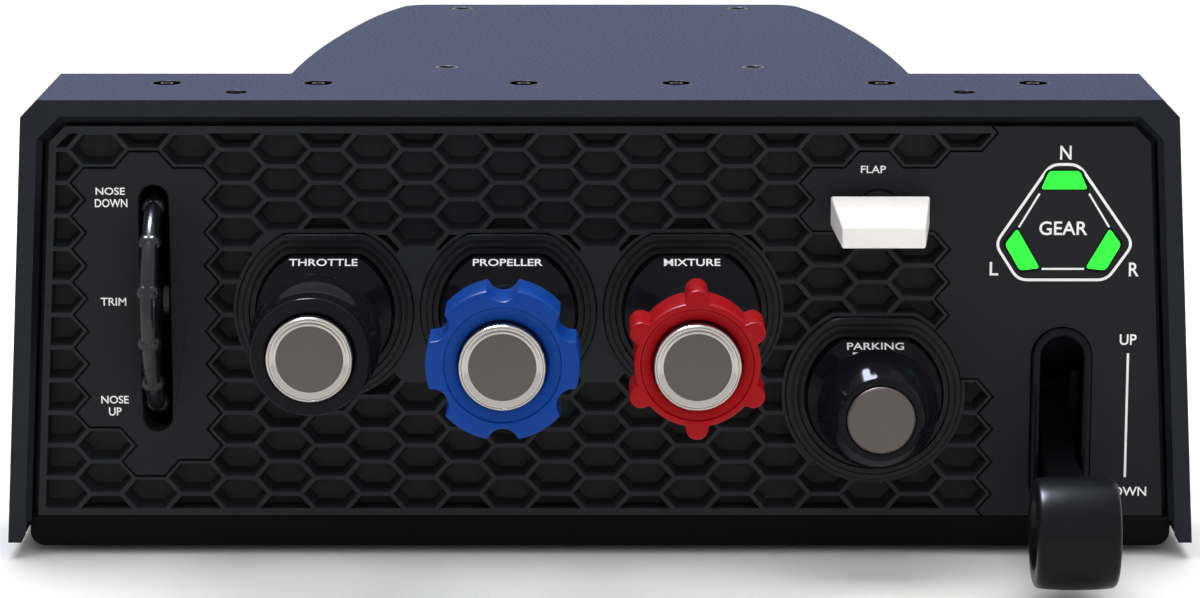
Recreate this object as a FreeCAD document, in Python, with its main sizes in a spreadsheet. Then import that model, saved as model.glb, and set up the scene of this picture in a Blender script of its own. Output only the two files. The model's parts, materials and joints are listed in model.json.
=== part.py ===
"""Desk throttle quadrant for a flight simulator, as a parametric assembly.

The driving dimensions live in the spreadsheet ``sizes`` (millimetres and
degrees). Every piece is drawn in the face frame: x runs to the right from
the middle of the panel, y runs inwards from the front edge of the housing,
z runs up from the table. ``node`` then moves each piece by FACE_Y, so that
the origin of the part lies under the middle of its outer box.
"""
import FreeCAD, Part
import Sketcher
import math
import os

os.makedirs("parts", exist_ok=True)

SIZES = (
    # housing outline, seen from the front
    ("base_width", 298.6, "width of the cover across the feet of its sides"),
    ("side_lean", 6.0, "how far a side leans in on its way up"),
    ("roof_corner", 4.2, "width of a sloping roof corner"),
    ("shoulder_drop", 4.35, "height of the sloping roof corner"),
    ("roof_height", 117.0, "top of the roof above the table"),
    ("cheek_height", 4.2, "bottom edge of the cover sides above the table"),
    ("foot_height", 2.0, "rubber foot below the tray"),
    ("foot_radius", 6.0, "radius of a rubber foot"),
    # housing outline, seen from above
    ("wide_depth", 46.4, "depth of the wide front part"),
    ("body_depth", 189.5, "depth of the whole housing"),
    ("neck_width", 159.6, "width of the tail where it leaves the wide part"),
    ("waist_width", 131.2, "width of the tail where its curve tightens"),
    ("waist_depth", 156.0, "distance of that place from the front"),
    ("bend_width", 115.0, "width of the tail where its rear corner starts"),
    ("bend_depth", 5.15, "distance of that place from the rear edge"),
    ("tail_width", 100.2, "width of the straight rear edge"),
    ("side_radius", 780.0, "radius of the long side curve"),
    ("tail_radius", 185.0, "radius of the side curve behind the waist"),
    ("bend_radius", 7.93, "radius of the rear corner"),
    # walls and fits
    ("wall", 3.0, "thickness of the cover"),
    ("floor_thick", 2.5, "thickness of the tray"),
    ("fit", 0.2, "gap between fixed pieces that slide together"),
    ("play", 0.3, "gap around a moving shaft"),
    ("overcut", 1.0, "how far a cutting tool runs past the material"),
    # front frame
    ("face_width", 4.2, "flat front edge of the cover"),
    ("face_slope", 1.4, "bevel inside the front edge"),
    ("frame_depth", 8.0, "depth of the front frame"),
    ("opening_cut", 5.0, "corner cut of the front opening"),
    ("cheek_width", 3.3, "foot of the cheek beside the tray"),
    ("cheek_top", 9.6, "where the front opening widens for the tray"),
    ("notch_low", 0.9, "start of the slope in the cheek foot"),
    ("notch_high", 3.3, "end of the slope in the cheek foot"),
    # tray
    ("tray_inset", 5.1, "side of the tray inside the foot of the cover side"),
    ("tray_round", 3.5, "round of the long tray edges"),
    ("tray_rim", 12.0, "top of the tray side walls above the table"),
    ("lip_top", 10.3, "top of the tray lip above the table"),
    ("lip_front", 3.0, "front of the lip at its top"),
    ("lip_back", 6.0, "front of the lip at its foot"),
    ("lip_thick", 2.5, "thickness of the lip"),
    # front panel
    ("panel_front", 3.0, "panel face behind the front edge"),
    ("panel_thick", 8.0, "thickness of the panel"),
    ("panel_gap", 1.4, "gap between the frame bevel and the panel"),
    ("panel_cut", 4.1, "corner cut of the panel"),
    ("flange_thick", 3.0, "rear flange that seats against the frame"),
    ("pocket_depth", 6.0, "depth of a honeycomb pocket"),
    ("pocket_draft", 1.0, "how far a pocket narrows to its floor"),
    ("panel_border", 1.8, "plain edge around the honeycomb"),
    ("cell_pitch_x", 11.3375, "distance between honeycomb columns"),
    ("cell_pitch_z", 8.375, "distance between honeycomb rows"),
    ("cell_length", 14.975, "honeycomb cell from corner to corner"),
    ("cell_top", 7.7, "flat top edge of a honeycomb cell"),
    ("cell_datum", 99.925, "height of the reference honeycomb row"),
    ("rib", 1.05, "honeycomb rib"),
    ("least_pocket", 5.0, "smallest clipped pocket that is kept, mm2"),
    # plates let into the panel
    ("plate_thick", 2.3, "thickness of the two inset plates"),
    ("plate_seat", 2.0, "depth of the plate recess"),
    ("plate_inset", 0.6, "plate edge inside the honeycomb centre lines"),
    ("plate_gap", 0.45, "groove around a plate"),
    # push-pull controls
    ("control_pitch", 45.75, "distance between the control axes"),
    ("control_height", 63.35, "height of the three engine controls"),
    ("parking_height", 42.1, "height of the parking brake control"),
    ("ring_radius", 22.0, "outer radius of a control ring"),
    ("ring_flat", 19.6, "flat of the ring above its axis"),
    ("step_radius", 19.5, "raised step of the ring"),
    ("step_flat", 17.4, "flat of the raised step above the axis"),
    ("ring_bore", 16.9, "bore of the ring"),
    ("bore_flat", 14.75, "flat of the bore above the axis"),
    ("ring_seat", 2.0, "depth of the ring seat in the panel"),
    ("ring_proud", 0.5, "outer step of the ring above the panel"),
    ("step_proud", 0.8, "raised step above the outer step"),
    ("collar_edge", 2.3, "collar edge in front of the housing edge"),
    ("collar_dome", 6.0, "collar middle in front of the housing edge"),
    ("collar_slant", 57.5, "slope of the label facet, degrees"),
    ("collar_flange", 20.0, "radius of the collar flange behind the panel"),
    ("collar_back", 2.0, "thickness of the collar flange"),
    ("barrel_radius", 6.0, "outer radius of a guide barrel"),
    ("barrel_head", 8.5, "radius of the barrel head"),
    ("barrel_lip", 2.0, "thickness of the barrel head"),
    ("barrel_end", 54.0, "rear end of the barrels"),
    ("nut_radius", 9.8, "corner radius of the collar nuts"),
    ("nut_thick", 5.0, "thickness of the collar nuts"),
    ("rod_radius", 4.0, "radius of a control rod"),
    ("rod_tail", 56.0, "rear end of the rods at rest"),
    ("rod_entry", 7.0, "length of the rod inside the knob"),
    ("button_radius", 10.3, "radius of a push button"),
    ("button_thick", 5.0, "thickness of a push button"),
    ("button_proud", 3.0, "push button in front of its knob"),
    ("button_dish", 8.0, "radius of the dish in the button face"),
    ("dish_depth", 0.7, "depth of the dish"),
    ("stem_radius", 2.2, "radius of the button stem"),
    ("stem_length", 3.0, "length of the button stem"),
    ("button_travel", 3.0, "how far a button goes in"),
    ("throttle_reach", 56.0, "throttle button in front of the housing"),
    ("knob_reach", 65.0, "propeller and mixture buttons in front of the housing"),
    ("throttle_length", 22.0, "length of the throttle knob"),
    ("throttle_flange", 16.0, "rear radius of the throttle knob"),
    ("throttle_waist", 13.4, "waist radius of the throttle knob"),
    ("throttle_face", 14.4, "front radius of the throttle knob"),
    ("throttle_front", 6.6, "front part of the throttle knob, from its face to the waist"),
    ("throttle_neck", 3.3, "length of the throttle knob's waist"),
    ("throttle_rim", 6.6, "length of the throttle knob's rear flange"),
    ("propeller_length", 16.0, "length of the propeller knob"),
    ("propeller_radius", 18.2, "radius of the propeller knob"),
    ("notch_radius", 3.8, "radius of the finger notches"),
    ("notch_depth", 2.9, "depth of the finger notches"),
    ("mixture_length", 16.0, "length of the mixture knob"),
    ("mixture_radius", 14.9, "radius of the mixture knob"),
    ("bump_radius", 2.7, "radius of the mixture knob bumps"),
    ("bump_centre", 15.3, "distance of the bumps from the axis"),
    ("parking_reach", 27.5, "parking knob in front of the housing"),
    ("parking_length", 13.5, "length of the parking knob"),
    ("parking_flange", 15.0, "rear radius of the parking knob"),
    ("parking_face", 10.3, "front radius of the parking knob"),
    ("parking_hub", 8.0, "radius of the hub behind the parking knob"),
    ("hub_length", 4.5, "length of that hub"),
    ("cap_radius", 8.35, "radius of the parking cap"),
    ("cap_thick", 1.2, "thickness of the parking cap"),
    # trim wheel
    ("trim_inset", 38.2, "trim wheel inside the foot of the cover side"),
    ("trim_height", 64.8, "height of the trim axle"),
    ("trim_depth", 12.6, "trim axle behind the front edge"),
    ("trim_radius", 26.6, "radius of the rim centre line"),
    ("trim_section", 2.2, "radius of the round rim"),
    ("trim_ball", 3.0, "radius of a grip ball"),
    ("trim_balls", 13, "number of grip balls"),
    ("trim_web", 2.4, "thickness of the wheel web"),
    ("trim_hub", 5.5, "radius of the wheel hub"),
    ("trim_hub_width", 6.4, "width of the wheel hub"),
    ("axle_radius", 2.4, "radius of the trim axle"),
    ("slot_width", 7.3, "width of the trim slot"),
    ("slot_height", 62.7, "height of the trim slot"),
    ("slot_centre", 63.85, "height of the middle of the trim slot"),
    ("cheek_gap", 4.6, "bracket cheek from the middle of the wheel"),
    ("cheek_thick", 2.0, "thickness of a bracket cheek"),
    ("trim_boss", 5.0, "radius of the axle boss and of the encoder"),
    ("encoder_length", 7.0, "length of the trim encoder"),
    ("bracket_front", 11.4, "front edge of the trim bracket"),
    ("bracket_back", 22.0, "rear edge of the trim bracket"),
    ("relief_depth", 4.2, "hollow in the panel back for the axle"),
    # gear lever
    ("gear_inset", 33.6, "gear lever inside the foot of the cover side"),
    ("gear_slot_width", 10.6, "width of the gear slot"),
    ("gear_slot_low", 14.2, "bottom of the gear slot above the table"),
    ("gear_slot_high", 56.85, "top of the gear slot above the table"),
    ("rim_width", 2.2, "width of the raised slot rim"),
    ("rim_proud", 1.4, "slot rim in front of the plate"),
    ("gear_pivot_y", 32.0, "gear pivot behind the front edge"),
    ("gear_pivot_z", 36.0, "gear pivot above the table"),
    ("gear_arm_width", 8.6, "width of the gear arm"),
    ("gear_rise", 2.6, "how far the gear arm rises from its grip to the elbow"),
    ("gear_arm_thick", 8.0, "height of the gear arm"),
    ("gear_elbow", 5.0, "elbow of the gear arm behind the front edge"),
    ("gear_hub", 7.0, "radius of the arm hub"),
    ("gear_pin", 2.3, "radius of the gear pivot pin"),
    ("gear_reach", 47.0, "wheel grip centre in front of the housing"),
    ("gear_wheel_z", 19.0, "wheel grip centre above the table"),
    ("gear_wheel_radius", 13.7, "radius of the wheel grip"),
    ("gear_wheel_width", 20.0, "width of the wheel grip"),
    ("gear_wheel_shift", 1.7, "offset of the wheel grip to the left of the arm"),
    ("gear_wheel_round", 4.0, "round of the wheel grip edges"),
    ("gear_cheek_low", 6.0, "bracket cheek behind and before the pivot"),
    ("gear_side_gap", 0.6, "gap between arm and bracket"),
    ("switch_size", 6.0, "edge of a gear switch"),
    ("switch_length", 12.0, "length of a gear switch"),
    # gear lamps
    ("lamp_shift", 0.3, "middle of the three gear lamps from the gear lever"),
    ("lamp_z", 84.25, "height of the middle of the lamps"),
    ("lamp_orbit", 12.25, "distance of a lamp from that middle"),
    ("lamp_inner", 11.6, "lamp width towards the middle"),
    ("lamp_outer", 7.6, "lamp width away from the middle"),
    ("lamp_height", 4.6, "lamp height"),
    ("lamp_proud", 0.4, "lamp in front of its plate"),
    ("lamp_depth", 8.3, "length of a lamp body"),
    ("led_board_radius", 18.0, "radius of the lamp board"),
    ("board_thick", 1.6, "thickness of a circuit board"),
    ("led_size", 3.0, "edge of an LED"),
    # flap switch
    ("flap_x", 69.3, "distance of the flap switch from the middle"),
    ("flap_z", 88.3, "height of the flap pivot"),
    ("flap_pivot_y", 9.0, "flap pivot behind the front edge"),
    ("bushing_radius", 5.7, "outer radius of the switch bushing"),
    ("bushing_bore", 4.1, "bore of the switch bushing"),
    ("bushing_front", 1.0, "bushing in front of the housing edge"),
    ("lever_radius", 1.6, "radius of the flap lever"),
    ("switch_ball", 2.6, "radius of the lever ball"),
    ("paddle_back", 3.0, "rear face of the paddle in front of the housing"),
    ("paddle_reach", 18.0, "front face of the paddle in front of the housing"),
    ("paddle_back_width", 24.6, "rear width of the paddle"),
    ("paddle_front_width", 20.4, "front width of the paddle"),
    ("paddle_back_low", 86.1, "bottom of the rear face above the table"),
    ("paddle_back_high", 93.5, "top of the rear face above the table"),
    ("paddle_front_low", 82.95, "bottom of the front face above the table"),
    ("paddle_front_high", 88.3, "top of the front face above the table"),
    ("switch_width", 13.0, "width of the flap switch body"),
    ("switch_tall", 18.0, "height of the flap switch body"),
    ("switch_deep", 14.0, "depth of the flap switch body"),
    ("flap_nut_radius", 8.6, "corner radius of the flap switch nut"),
    ("flap_nut_thick", 2.5, "thickness of the flap switch nut"),
    # inner frame and electronics
    ("bulkhead_front", 49.0, "front of the barrel bulkhead"),
    ("bulkhead_thick", 3.0, "thickness of the barrel bulkhead"),
    ("bulkhead_margin", 1.5, "bulkhead edge inside the tail walls"),
    ("bulkhead_high", 76.0, "top of the barrel bulkhead"),
    ("bulkhead_foot", 8.0, "depth of the bulkhead foot"),
    ("sensor_width", 11.0, "width of a position sensor"),
    ("sensor_height", 8.0, "height of a position sensor"),
    ("sensor_length", 22.0, "length of a position sensor"),
    ("board_width", 90.0, "width of the control board"),
    ("board_front", 82.0, "front edge of the control board"),
    ("board_back", 172.0, "rear edge of the control board"),
    ("board_height", 10.0, "control board above the table"),
    ("standoff_radius", 3.0, "radius of a board standoff"),
    ("standoff_inset", 5.0, "standoff from the board edge"),
    ("chip_size", 14.0, "edge of the controller chip"),
    ("chip_height", 1.4, "height of the controller chip"),
    ("usb_width", 12.0, "width of the USB socket"),
    ("usb_height", 11.0, "height of the USB socket"),
    ("usb_length", 19.5, "length of the USB socket"),
    ("usb_wall", 1.4, "wall of the USB socket"),
    ("usb_mouth", 9.0, "depth of the open mouth of the socket"),
    # posts, screws and inserts
    ("insert_x", 40.0, "desk inserts from the middle"),
    ("insert_front", 59.0, "front pair of desk inserts"),
    ("insert_back", 181.0, "rear pair of desk inserts"),
    ("insert_radius", 3.4, "outer radius of a desk insert"),
    ("insert_bore", 2.1, "threaded bore of a desk insert"),
    ("insert_length", 8.0, "length of a desk insert"),
    ("post_radius", 5.2, "radius of a full-height post"),
    ("corner_inset", 18.3, "front corner posts inside the foot of the cover side"),
    ("corner_y", 37.0, "front corner posts behind the front edge"),
    ("corner_radius", 4.0, "radius of a corner post"),
    ("base_screw_radius", 1.5, "radius of a base screw"),
    ("base_head_radius", 3.0, "head radius of a base screw"),
    ("base_head_thick", 1.6, "head thickness of a base screw"),
    ("base_screw_length", 12.0, "length of a base screw in its post"),
    ("rail_width", 236.0, "length of the roof rail"),
    ("rail_front", 25.0, "front of the roof rail"),
    ("rail_depth", 10.0, "depth of the roof rail"),
    ("rail_height", 6.0, "height of the roof rail"),
    ("roof_screw_y", 29.7, "row of roof screws behind the front edge"),
    ("roof_screw_inner", 19.35, "inner roof screws from the middle"),
    ("roof_screw_mid", 71.5, "middle roof screws from the middle"),
    ("roof_screw_outer", 110.0, "outer roof screws from the middle"),
    ("roof_head_radius", 4.0, "head radius of a roof screw"),
    ("roof_head_thick", 2.2, "head thickness of a roof screw"),
    ("roof_shank_radius", 1.9, "shank radius of a roof screw"),
    ("roof_shank_length", 8.0, "length of a roof screw"),
    ("lug_x", 91.0, "panel lugs from the middle"),
    ("lug_y", 13.6, "panel lug screws behind the front edge"),
    ("lug_width", 12.0, "width of a panel lug"),
    ("lug_depth", 6.0, "depth of a panel lug"),
    ("lug_height", 8.0, "height of a panel lug"),
    ("small_head_radius", 3.0, "head radius of a panel screw"),
    ("small_head_thick", 1.7, "head thickness of a panel screw"),
    ("small_shank_radius", 1.4, "shank radius of a panel screw"),
    ("small_shank_length", 7.0, "length of a panel screw"),
    ("drive_radius", 1.3, "corner radius of the hexagon in a screw head"),
    ("drive_depth", 1.2, "depth of the hexagon in a screw head"),
)

doc = FreeCAD.newDocument("throttle_quadrant")
sheet = doc.addObject("Spreadsheet::Sheet", "sizes")
for row, (alias, value, meaning) in enumerate(SIZES, start=1):
    sheet.set(f"A{row}", meaning)
    sheet.set(f"B{row}", str(value))
    sheet.setAlias(f"B{row}", alias)
doc.recompute()

NODES = []
FACE_Y = "-(sizes.body_depth - sizes.knob_reach) / 2"
MITRE = "tan(22.5 deg)"
SHOULDER_WIDTH = "(sizes.base_width - 2 * sizes.side_lean)"
ROOF_WIDTH = "(sizes.base_width - 2 * sizes.side_lean - 2 * sizes.roof_corner)"
TRAY_WIDTH = "(sizes.base_width - 2 * sizes.tray_inset)"
CORNER_X = "(sizes.base_width / 2 - sizes.corner_inset)"
TRIM_X = "(sizes.base_width / 2 - sizes.trim_inset)"
GEAR_X = "(sizes.base_width / 2 - sizes.gear_inset)"
LAMP_X = "(sizes.base_width / 2 - sizes.gear_inset - sizes.lamp_shift)"


# --- small helpers ---------------------------------------------------------

def size(alias):
    """Return one driving dimension as a number."""
    return float(sheet.get(alias))


def value(expression):
    """Work out an expression of the sheet as a number."""
    result = sheet.evalExpression(expression)
    return float(getattr(result, "Value", result))


def bind(obj, **expressions):
    """Tie properties of an object to expressions."""
    for prop, expression in expressions.items():
        obj.setExpression(prop, expression)
    return obj


def put(obj, x="0", y="0", z="0"):
    """Place an object in the face frame."""
    for axis, expression in (("x", x), ("y", y), ("z", z)):
        obj.setExpression(f"Placement.Base.{axis}", expression)
    return obj


def turn(obj, axis):
    """Lay the local z axis of a primitive along x, y or z."""
    turns = {"x": ((0, 1, 0), 90), "y": ((1, 0, 0), -90), "z": ((0, 0, 1), 0)}
    vector, angle = turns[axis]
    obj.Placement.Rotation = FreeCAD.Rotation(FreeCAD.Vector(*vector), angle)
    return obj


def cylinder(name, radius, length, centre, axis="y"):
    """Make a round bar that starts at centre and runs along +axis."""
    obj = doc.addObject("Part::Cylinder", name)
    bind(obj, Radius=radius, Height=length)
    return put(turn(obj, axis), *centre)


def cone(name, radius, far_radius, length, centre, axis="y"):
    """Make a cone that starts at centre and runs along +axis."""
    obj = doc.addObject("Part::Cone", name)
    bind(obj, Radius1=radius, Radius2=far_radius, Height=length)
    return put(turn(obj, axis), *centre)


def hexagon(name, corner_radius, length, centre, axis="y"):
    """Make a six-sided bar that starts at centre and runs along +axis."""
    obj = doc.addObject("Part::Prism", name)
    obj.Polygon = 6
    bind(obj, Circumradius=corner_radius, Height=length)
    return put(turn(obj, axis), *centre)


def box(name, middle_x, front, bottom, width, depth, height):
    """Make a block from its middle in x, its front and its bottom."""
    obj = doc.addObject("Part::Box", name)
    bind(obj, Length=width, Width=depth, Height=height)
    return put(obj, f"{middle_x} - ({width}) / 2", front, bottom)


def fuse(name, *shapes):
    """Join shapes into one solid."""
    obj = doc.addObject("Part::MultiFuse", name)
    obj.Shapes = list(shapes)
    obj.Refine = True
    return obj


def cut(name, base, *tools):
    """Take tools away from base."""
    obj = doc.addObject("Part::Cut", name)
    obj.Base = base
    obj.Tool = tools[0] if len(tools) == 1 else fuse(f"{name}_tools", *tools)
    return obj


def common(name, first, second):
    """Keep what two shapes share."""
    obj = doc.addObject("Part::Common", name)
    obj.Base, obj.Tool = first, second
    return obj


def group(name, *shapes):
    """Collect separate solids of one node."""
    obj = doc.addObject("Part::Compound", name)
    obj.Links = list(shapes)
    return obj


def node(obj, label):
    """Name a finished sub-part and move it from the face frame."""
    obj.Label = label
    own = dict(obj.ExpressionEngine).get(".Placement.Base.y", "0")
    obj.setExpression("Placement.Base.y", f"{FACE_Y} + ({own})")
    NODES.append(obj)
    return obj


# --- sketches --------------------------------------------------------------

def sketch(body, name, plane, points, offset="0", radii=None):
    """Draw a closed outline whose every corner is tied to the sheet.

    points holds the corners as pairs of expressions. radii maps the number of
    a side to the radius of its outward arc; the other sides are straight.
    offset moves the sketch along +y on XZ, +z on XY and +x on YZ.
    """
    radii = radii or {}
    obj = body.newObject("Sketcher::SketchObject", name)
    features = body.Origin.OriginFeatures
    obj.AttachmentSupport = [(next(f for f in features if f.Role == f"{plane}_Plane"), "")]
    obj.MapMode = "FlatFace"
    sign = "-" if plane == "XZ" else ""
    obj.setExpression("AttachmentOffset.Base.z", f"{sign}({offset})")
    corners = [FreeCAD.Vector(value(u), value(v), 0) for u, v in points]
    middle = sum(corners, FreeCAD.Vector()) / len(corners)
    ends = []
    for i, start in enumerate(corners):
        stop = corners[(i + 1) % len(corners)]
        if i not in radii:
            obj.addGeometry(Part.LineSegment(start, stop))
            ends.append((1, 2))
            continue
        radius = value(radii[i])
        half = (stop - start).Length / 2
        outward = (stop - start).cross(FreeCAD.Vector(0, 0, 1)).normalize()
        if outward.dot((start + stop) / 2 - middle) < 0:
            outward = -outward
        centre = (start + stop) / 2 - outward * math.sqrt(radius * radius - half * half)
        first, last = (math.atan2((p - centre).y, (p - centre).x) for p in (start, stop))
        forward = math.remainder(last - first, 2 * math.pi) > 0
        if not forward:
            first, last = last, first
        circle = Part.Circle(centre, FreeCAD.Vector(0, 0, 1), radius)
        obj.addGeometry(Part.ArcOfCircle(circle, first, last))
        ends.append((1, 2) if forward else (2, 1))
        number = obj.addConstraint(Sketcher.Constraint("Radius", i, radius))
        obj.setExpression(f"Constraints[{number}]", radii[i])
    for i, (_, stop) in enumerate(ends):
        following = (i + 1) % len(ends)
        obj.addConstraint(Sketcher.Constraint("Coincident", i, stop, following, ends[following][0]))
    for i, (u, v) in enumerate(points):
        for kind, expression in (("DistanceX", u), ("DistanceY", v)):
            number = obj.addConstraint(
                Sketcher.Constraint(kind, -1, 1, i, ends[i][0], value(expression)))
            obj.setExpression(f"Constraints[{number}]", expression)
    return obj


def new_body(name):
    """Start a PartDesign body."""
    return doc.addObject("PartDesign::Body", name)


def pad(body, name, profile, length, midplane=False, reverse=False):
    """Add a straight block to a body."""
    obj = body.newObject("PartDesign::Pad", name)
    obj.Profile = profile
    obj.Reversed = reverse
    if midplane:
        obj.Midplane = True
    return bind(obj, Length=length)


def pocket(body, name, profile, length, reverse=False):
    """Take a straight block out of a body and check that it cuts."""
    doc.recompute()
    before = body.Shape.Volume
    obj = body.newObject("PartDesign::Pocket", name)
    obj.Profile = profile
    obj.Reversed = reverse
    bind(obj, Length=length)
    doc.recompute()
    if not body.Shape.Volume < before:
        raise RuntimeError(f"{name} cuts nothing")
    return obj


def mirrored(points):
    """Complete a left half outline with its mirror image."""
    return points + [(f"-({u})", v) for u, v in reversed(points)]


def turned(name, points, x, z, y="0"):
    """Turn a profile of (radius, y) pairs about an axis along y."""
    body = new_body(name)
    profile = sketch(body, f"{name}_profile", "XY", points)
    obj = body.newObject("PartDesign::Revolution", f"{name}_turn")
    obj.Profile = profile
    obj.ReferenceAxis = (profile, ["V_Axis"])
    obj.Angle = 360
    return put(body, x, y, z)


# --- housing ---------------------------------------------------------------

def side_at(z):
    """Half width of the cover at a height, on its sloping side."""
    rise = "(sizes.roof_height - sizes.shoulder_drop - sizes.cheek_height)"
    return f"(sizes.base_width / 2 - sizes.side_lean * (({z}) - sizes.cheek_height) / {rise})"


def front_outline(offset, corner, bottom):
    """Left half of the housing outline, moved inwards by offset."""
    top = f"sizes.roof_height - ({offset})"
    shoulder = f"({top}) - ({corner})"
    side = f"({side_at(shoulder)} - ({offset}))"
    return [
        (f"-({side_at(bottom)} - ({offset}))", bottom),
        (f"-{side}", shoulder),
        (f"-({side} - ({corner}))", top),
    ]


def tail_outline(front, inset):
    """Left half of the tail seen from above, moved inwards by inset.

    The side leans by about 20 degrees where the rear corner starts, so that
    place moves by the cosine of it across and by its sine forwards.
    """
    return [
        (f"-(sizes.neck_width / 2 - ({inset}))", front),
        (f"-(sizes.waist_width / 2 - ({inset}))", "sizes.waist_depth"),
        (f"-(sizes.bend_width / 2 - 0.94 * ({inset}))",
         f"sizes.body_depth - sizes.bend_depth - 0.35 * ({inset})"),
        ("-sizes.tail_width / 2", f"sizes.body_depth - ({inset})"),
    ]


def tail_radii(first, inset):
    """Radii of the curved tail sides, counted from side number first."""
    names = ("side", "tail", "bend", None, "bend", "tail", "side")
    return {first + i: f"sizes.{name}_radius - ({inset})" for i, name in enumerate(names) if name}


POSTS = [
    (f"{sx}sizes.insert_x", y, "sizes.post_radius")
    for sx in ("-", "") for y in ("sizes.insert_front", "sizes.insert_back")
] + [(f"{sx}{CORNER_X}", "sizes.corner_y", "sizes.corner_radius") for sx in ("-", "")]
TRAY_TOP = "(sizes.foot_height + sizes.floor_thick)"
ROOF_UNDER = "(sizes.roof_height - sizes.wall)"
ROOF_SCREWS = [
    f"{sx}sizes.roof_screw_{place}" for sx in ("-", "") for place in ("inner", "mid", "outer")
]


def make_cover():
    """Roof, sides, tail and front frame in one shell, open below."""
    shell = new_body("cover_shell")
    outline = mirrored([
        ("-sizes.base_width / 2", "sizes.cheek_height"),
        (f"-{SHOULDER_WIDTH} / 2", "sizes.roof_height - sizes.shoulder_drop"),
        (f"-{ROOF_WIDTH} / 2", "sizes.roof_height"),
    ])
    pad(shell, "wide_part", sketch(shell, "wide_outline", "XZ", outline),
        "sizes.wide_depth", reverse=True)
    tail = mirrored(tail_outline("sizes.wide_depth - sizes.wall", "0"))
    pad(shell, "tail_part",
        sketch(shell, "tail_plan", "XY", tail, "sizes.cheek_height", tail_radii(0, "0")),
        "sizes.roof_height - sizes.cheek_height")

    below = "(sizes.cheek_height - sizes.overcut)"
    inner = mirrored([
        (f"-({side_at(below)} - sizes.wall)", below),
        (f"-({SHOULDER_WIDTH} / 2 - sizes.wall)",
         f"sizes.roof_height - sizes.shoulder_drop - sizes.wall * {MITRE}"),
        (f"-({ROOF_WIDTH} / 2 - sizes.wall * {MITRE})", ROOF_UNDER),
    ])
    pocket(shell, "wide_cavity",
           sketch(shell, "wide_cavity_outline", "XZ", inner, "sizes.frame_depth"),
           "sizes.wide_depth - sizes.wall - sizes.frame_depth")
    hollow = mirrored(tail_outline("sizes.wide_depth - sizes.wall - sizes.overcut", "sizes.wall"))
    pocket(shell, "tail_cavity",
           sketch(shell, "tail_cavity_plan", "XY", hollow, ROOF_UNDER,
                  tail_radii(0, "sizes.wall")),
           f"{ROOF_UNDER} - {below}")

    inset = "(sizes.face_width + sizes.face_slope)"
    edge = front_outline(inset, "sizes.opening_cut", "sizes.cheek_top")
    foot = "(sizes.base_width / 2 - sizes.cheek_width)"
    tray_side = f"({TRAY_WIDTH} / 2 + sizes.fit)"
    opening = mirrored([
        (f"-{foot}", below),
        (f"-{foot}", "sizes.cheek_height + sizes.notch_low"),
        (f"-{tray_side}", "sizes.cheek_height + sizes.notch_high"),
        (f"-{tray_side}", "sizes.cheek_top"),
    ] + edge)
    pocket(shell, "front_opening",
           sketch(shell, "opening_outline", "XZ", opening, "-sizes.overcut"),
           "sizes.frame_depth + 2 * sizes.overcut")
    opened = shell.Tip
    bevel = shell.newObject("PartDesign::Chamfer", "frame_bevel")
    low, reach = size("cheek_top"), size("base_width") / 2 - size("face_width")
    names = [
        f"Edge{i}" for i, e in enumerate(opened.Shape.Edges, start=1)
        if abs(e.BoundBox.YMin) < 1e-6 and abs(e.BoundBox.YMax) < 1e-6
        and e.BoundBox.ZMin > low - 1e-6 and e.BoundBox.ZMax > low + 1
        and e.BoundBox.ZMax < size("roof_height") - size("face_width")
        and max(abs(e.BoundBox.XMin), abs(e.BoundBox.XMax)) < reach
    ]
    bevel.Base = (opened, names)
    bind(bevel, Size="sizes.face_slope")

    pillars = [
        cylinder(f"cover_post_{i}", radius, f"{ROOF_UNDER} - {TRAY_TOP} + sizes.wall / 2",
                 (x, y, TRAY_TOP), "z")
        for i, (x, y, radius) in enumerate(POSTS)
    ]
    holes = []
    for i, (x, y, _) in enumerate(POSTS):
        holes.append(cylinder(f"post_bore_{i}", "sizes.base_screw_radius + sizes.fit / 2",
                              "sizes.base_screw_length + sizes.overcut",
                              (x, y, f"{TRAY_TOP} - sizes.overcut / 2"), "z"))
        if i < 4:
            holes.append(cylinder(f"insert_bore_{i}", "sizes.insert_radius + sizes.fit / 2",
                                  "sizes.insert_length + sizes.fit + sizes.overcut",
                                  (x, y, "sizes.roof_height - sizes.insert_length - sizes.fit"),
                                  "z"))
    for i, x in enumerate(ROOF_SCREWS):
        holes += screw_hole(f"roof_hole_{i}", "roof", x, "sizes.roof_screw_y")
    for i, sx in enumerate(("-", "")):
        holes += screw_hole(f"small_hole_{i}", "small", f"{sx}sizes.lug_x", "sizes.lug_y")
    holes.append(box("usb_window", "0", "sizes.body_depth - sizes.wall - sizes.overcut",
                     f"{USB_BOTTOM} - sizes.fit", "sizes.usb_width + 2 * sizes.fit",
                     "sizes.wall + 2 * sizes.overcut", "sizes.usb_height + 2 * sizes.fit"))
    whole = fuse("cover_whole", shell, *pillars)
    node(cut("cover_cut", whole, *holes), "top_cover")


def screw_hole(name, kind, x, y):
    """Countersink and clearance hole for one screw in the roof."""
    gap, top = "sizes.fit / 2", "sizes.roof_height"
    head, thick = f"sizes.{kind}_head_radius", f"sizes.{kind}_head_thick"
    shank = f"sizes.{kind}_shank_radius"
    return [
        cone(f"{name}_sink", f"{shank} + {gap}", f"{head} + {gap}", thick,
             (x, y, f"{top} - {thick}"), "z"),
        cylinder(f"{name}_bore", f"{shank} + {gap}", "sizes.wall + 2 * sizes.overcut",
                 (x, y, f"{ROOF_UNDER} - sizes.overcut"), "z"),
    ]


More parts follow.
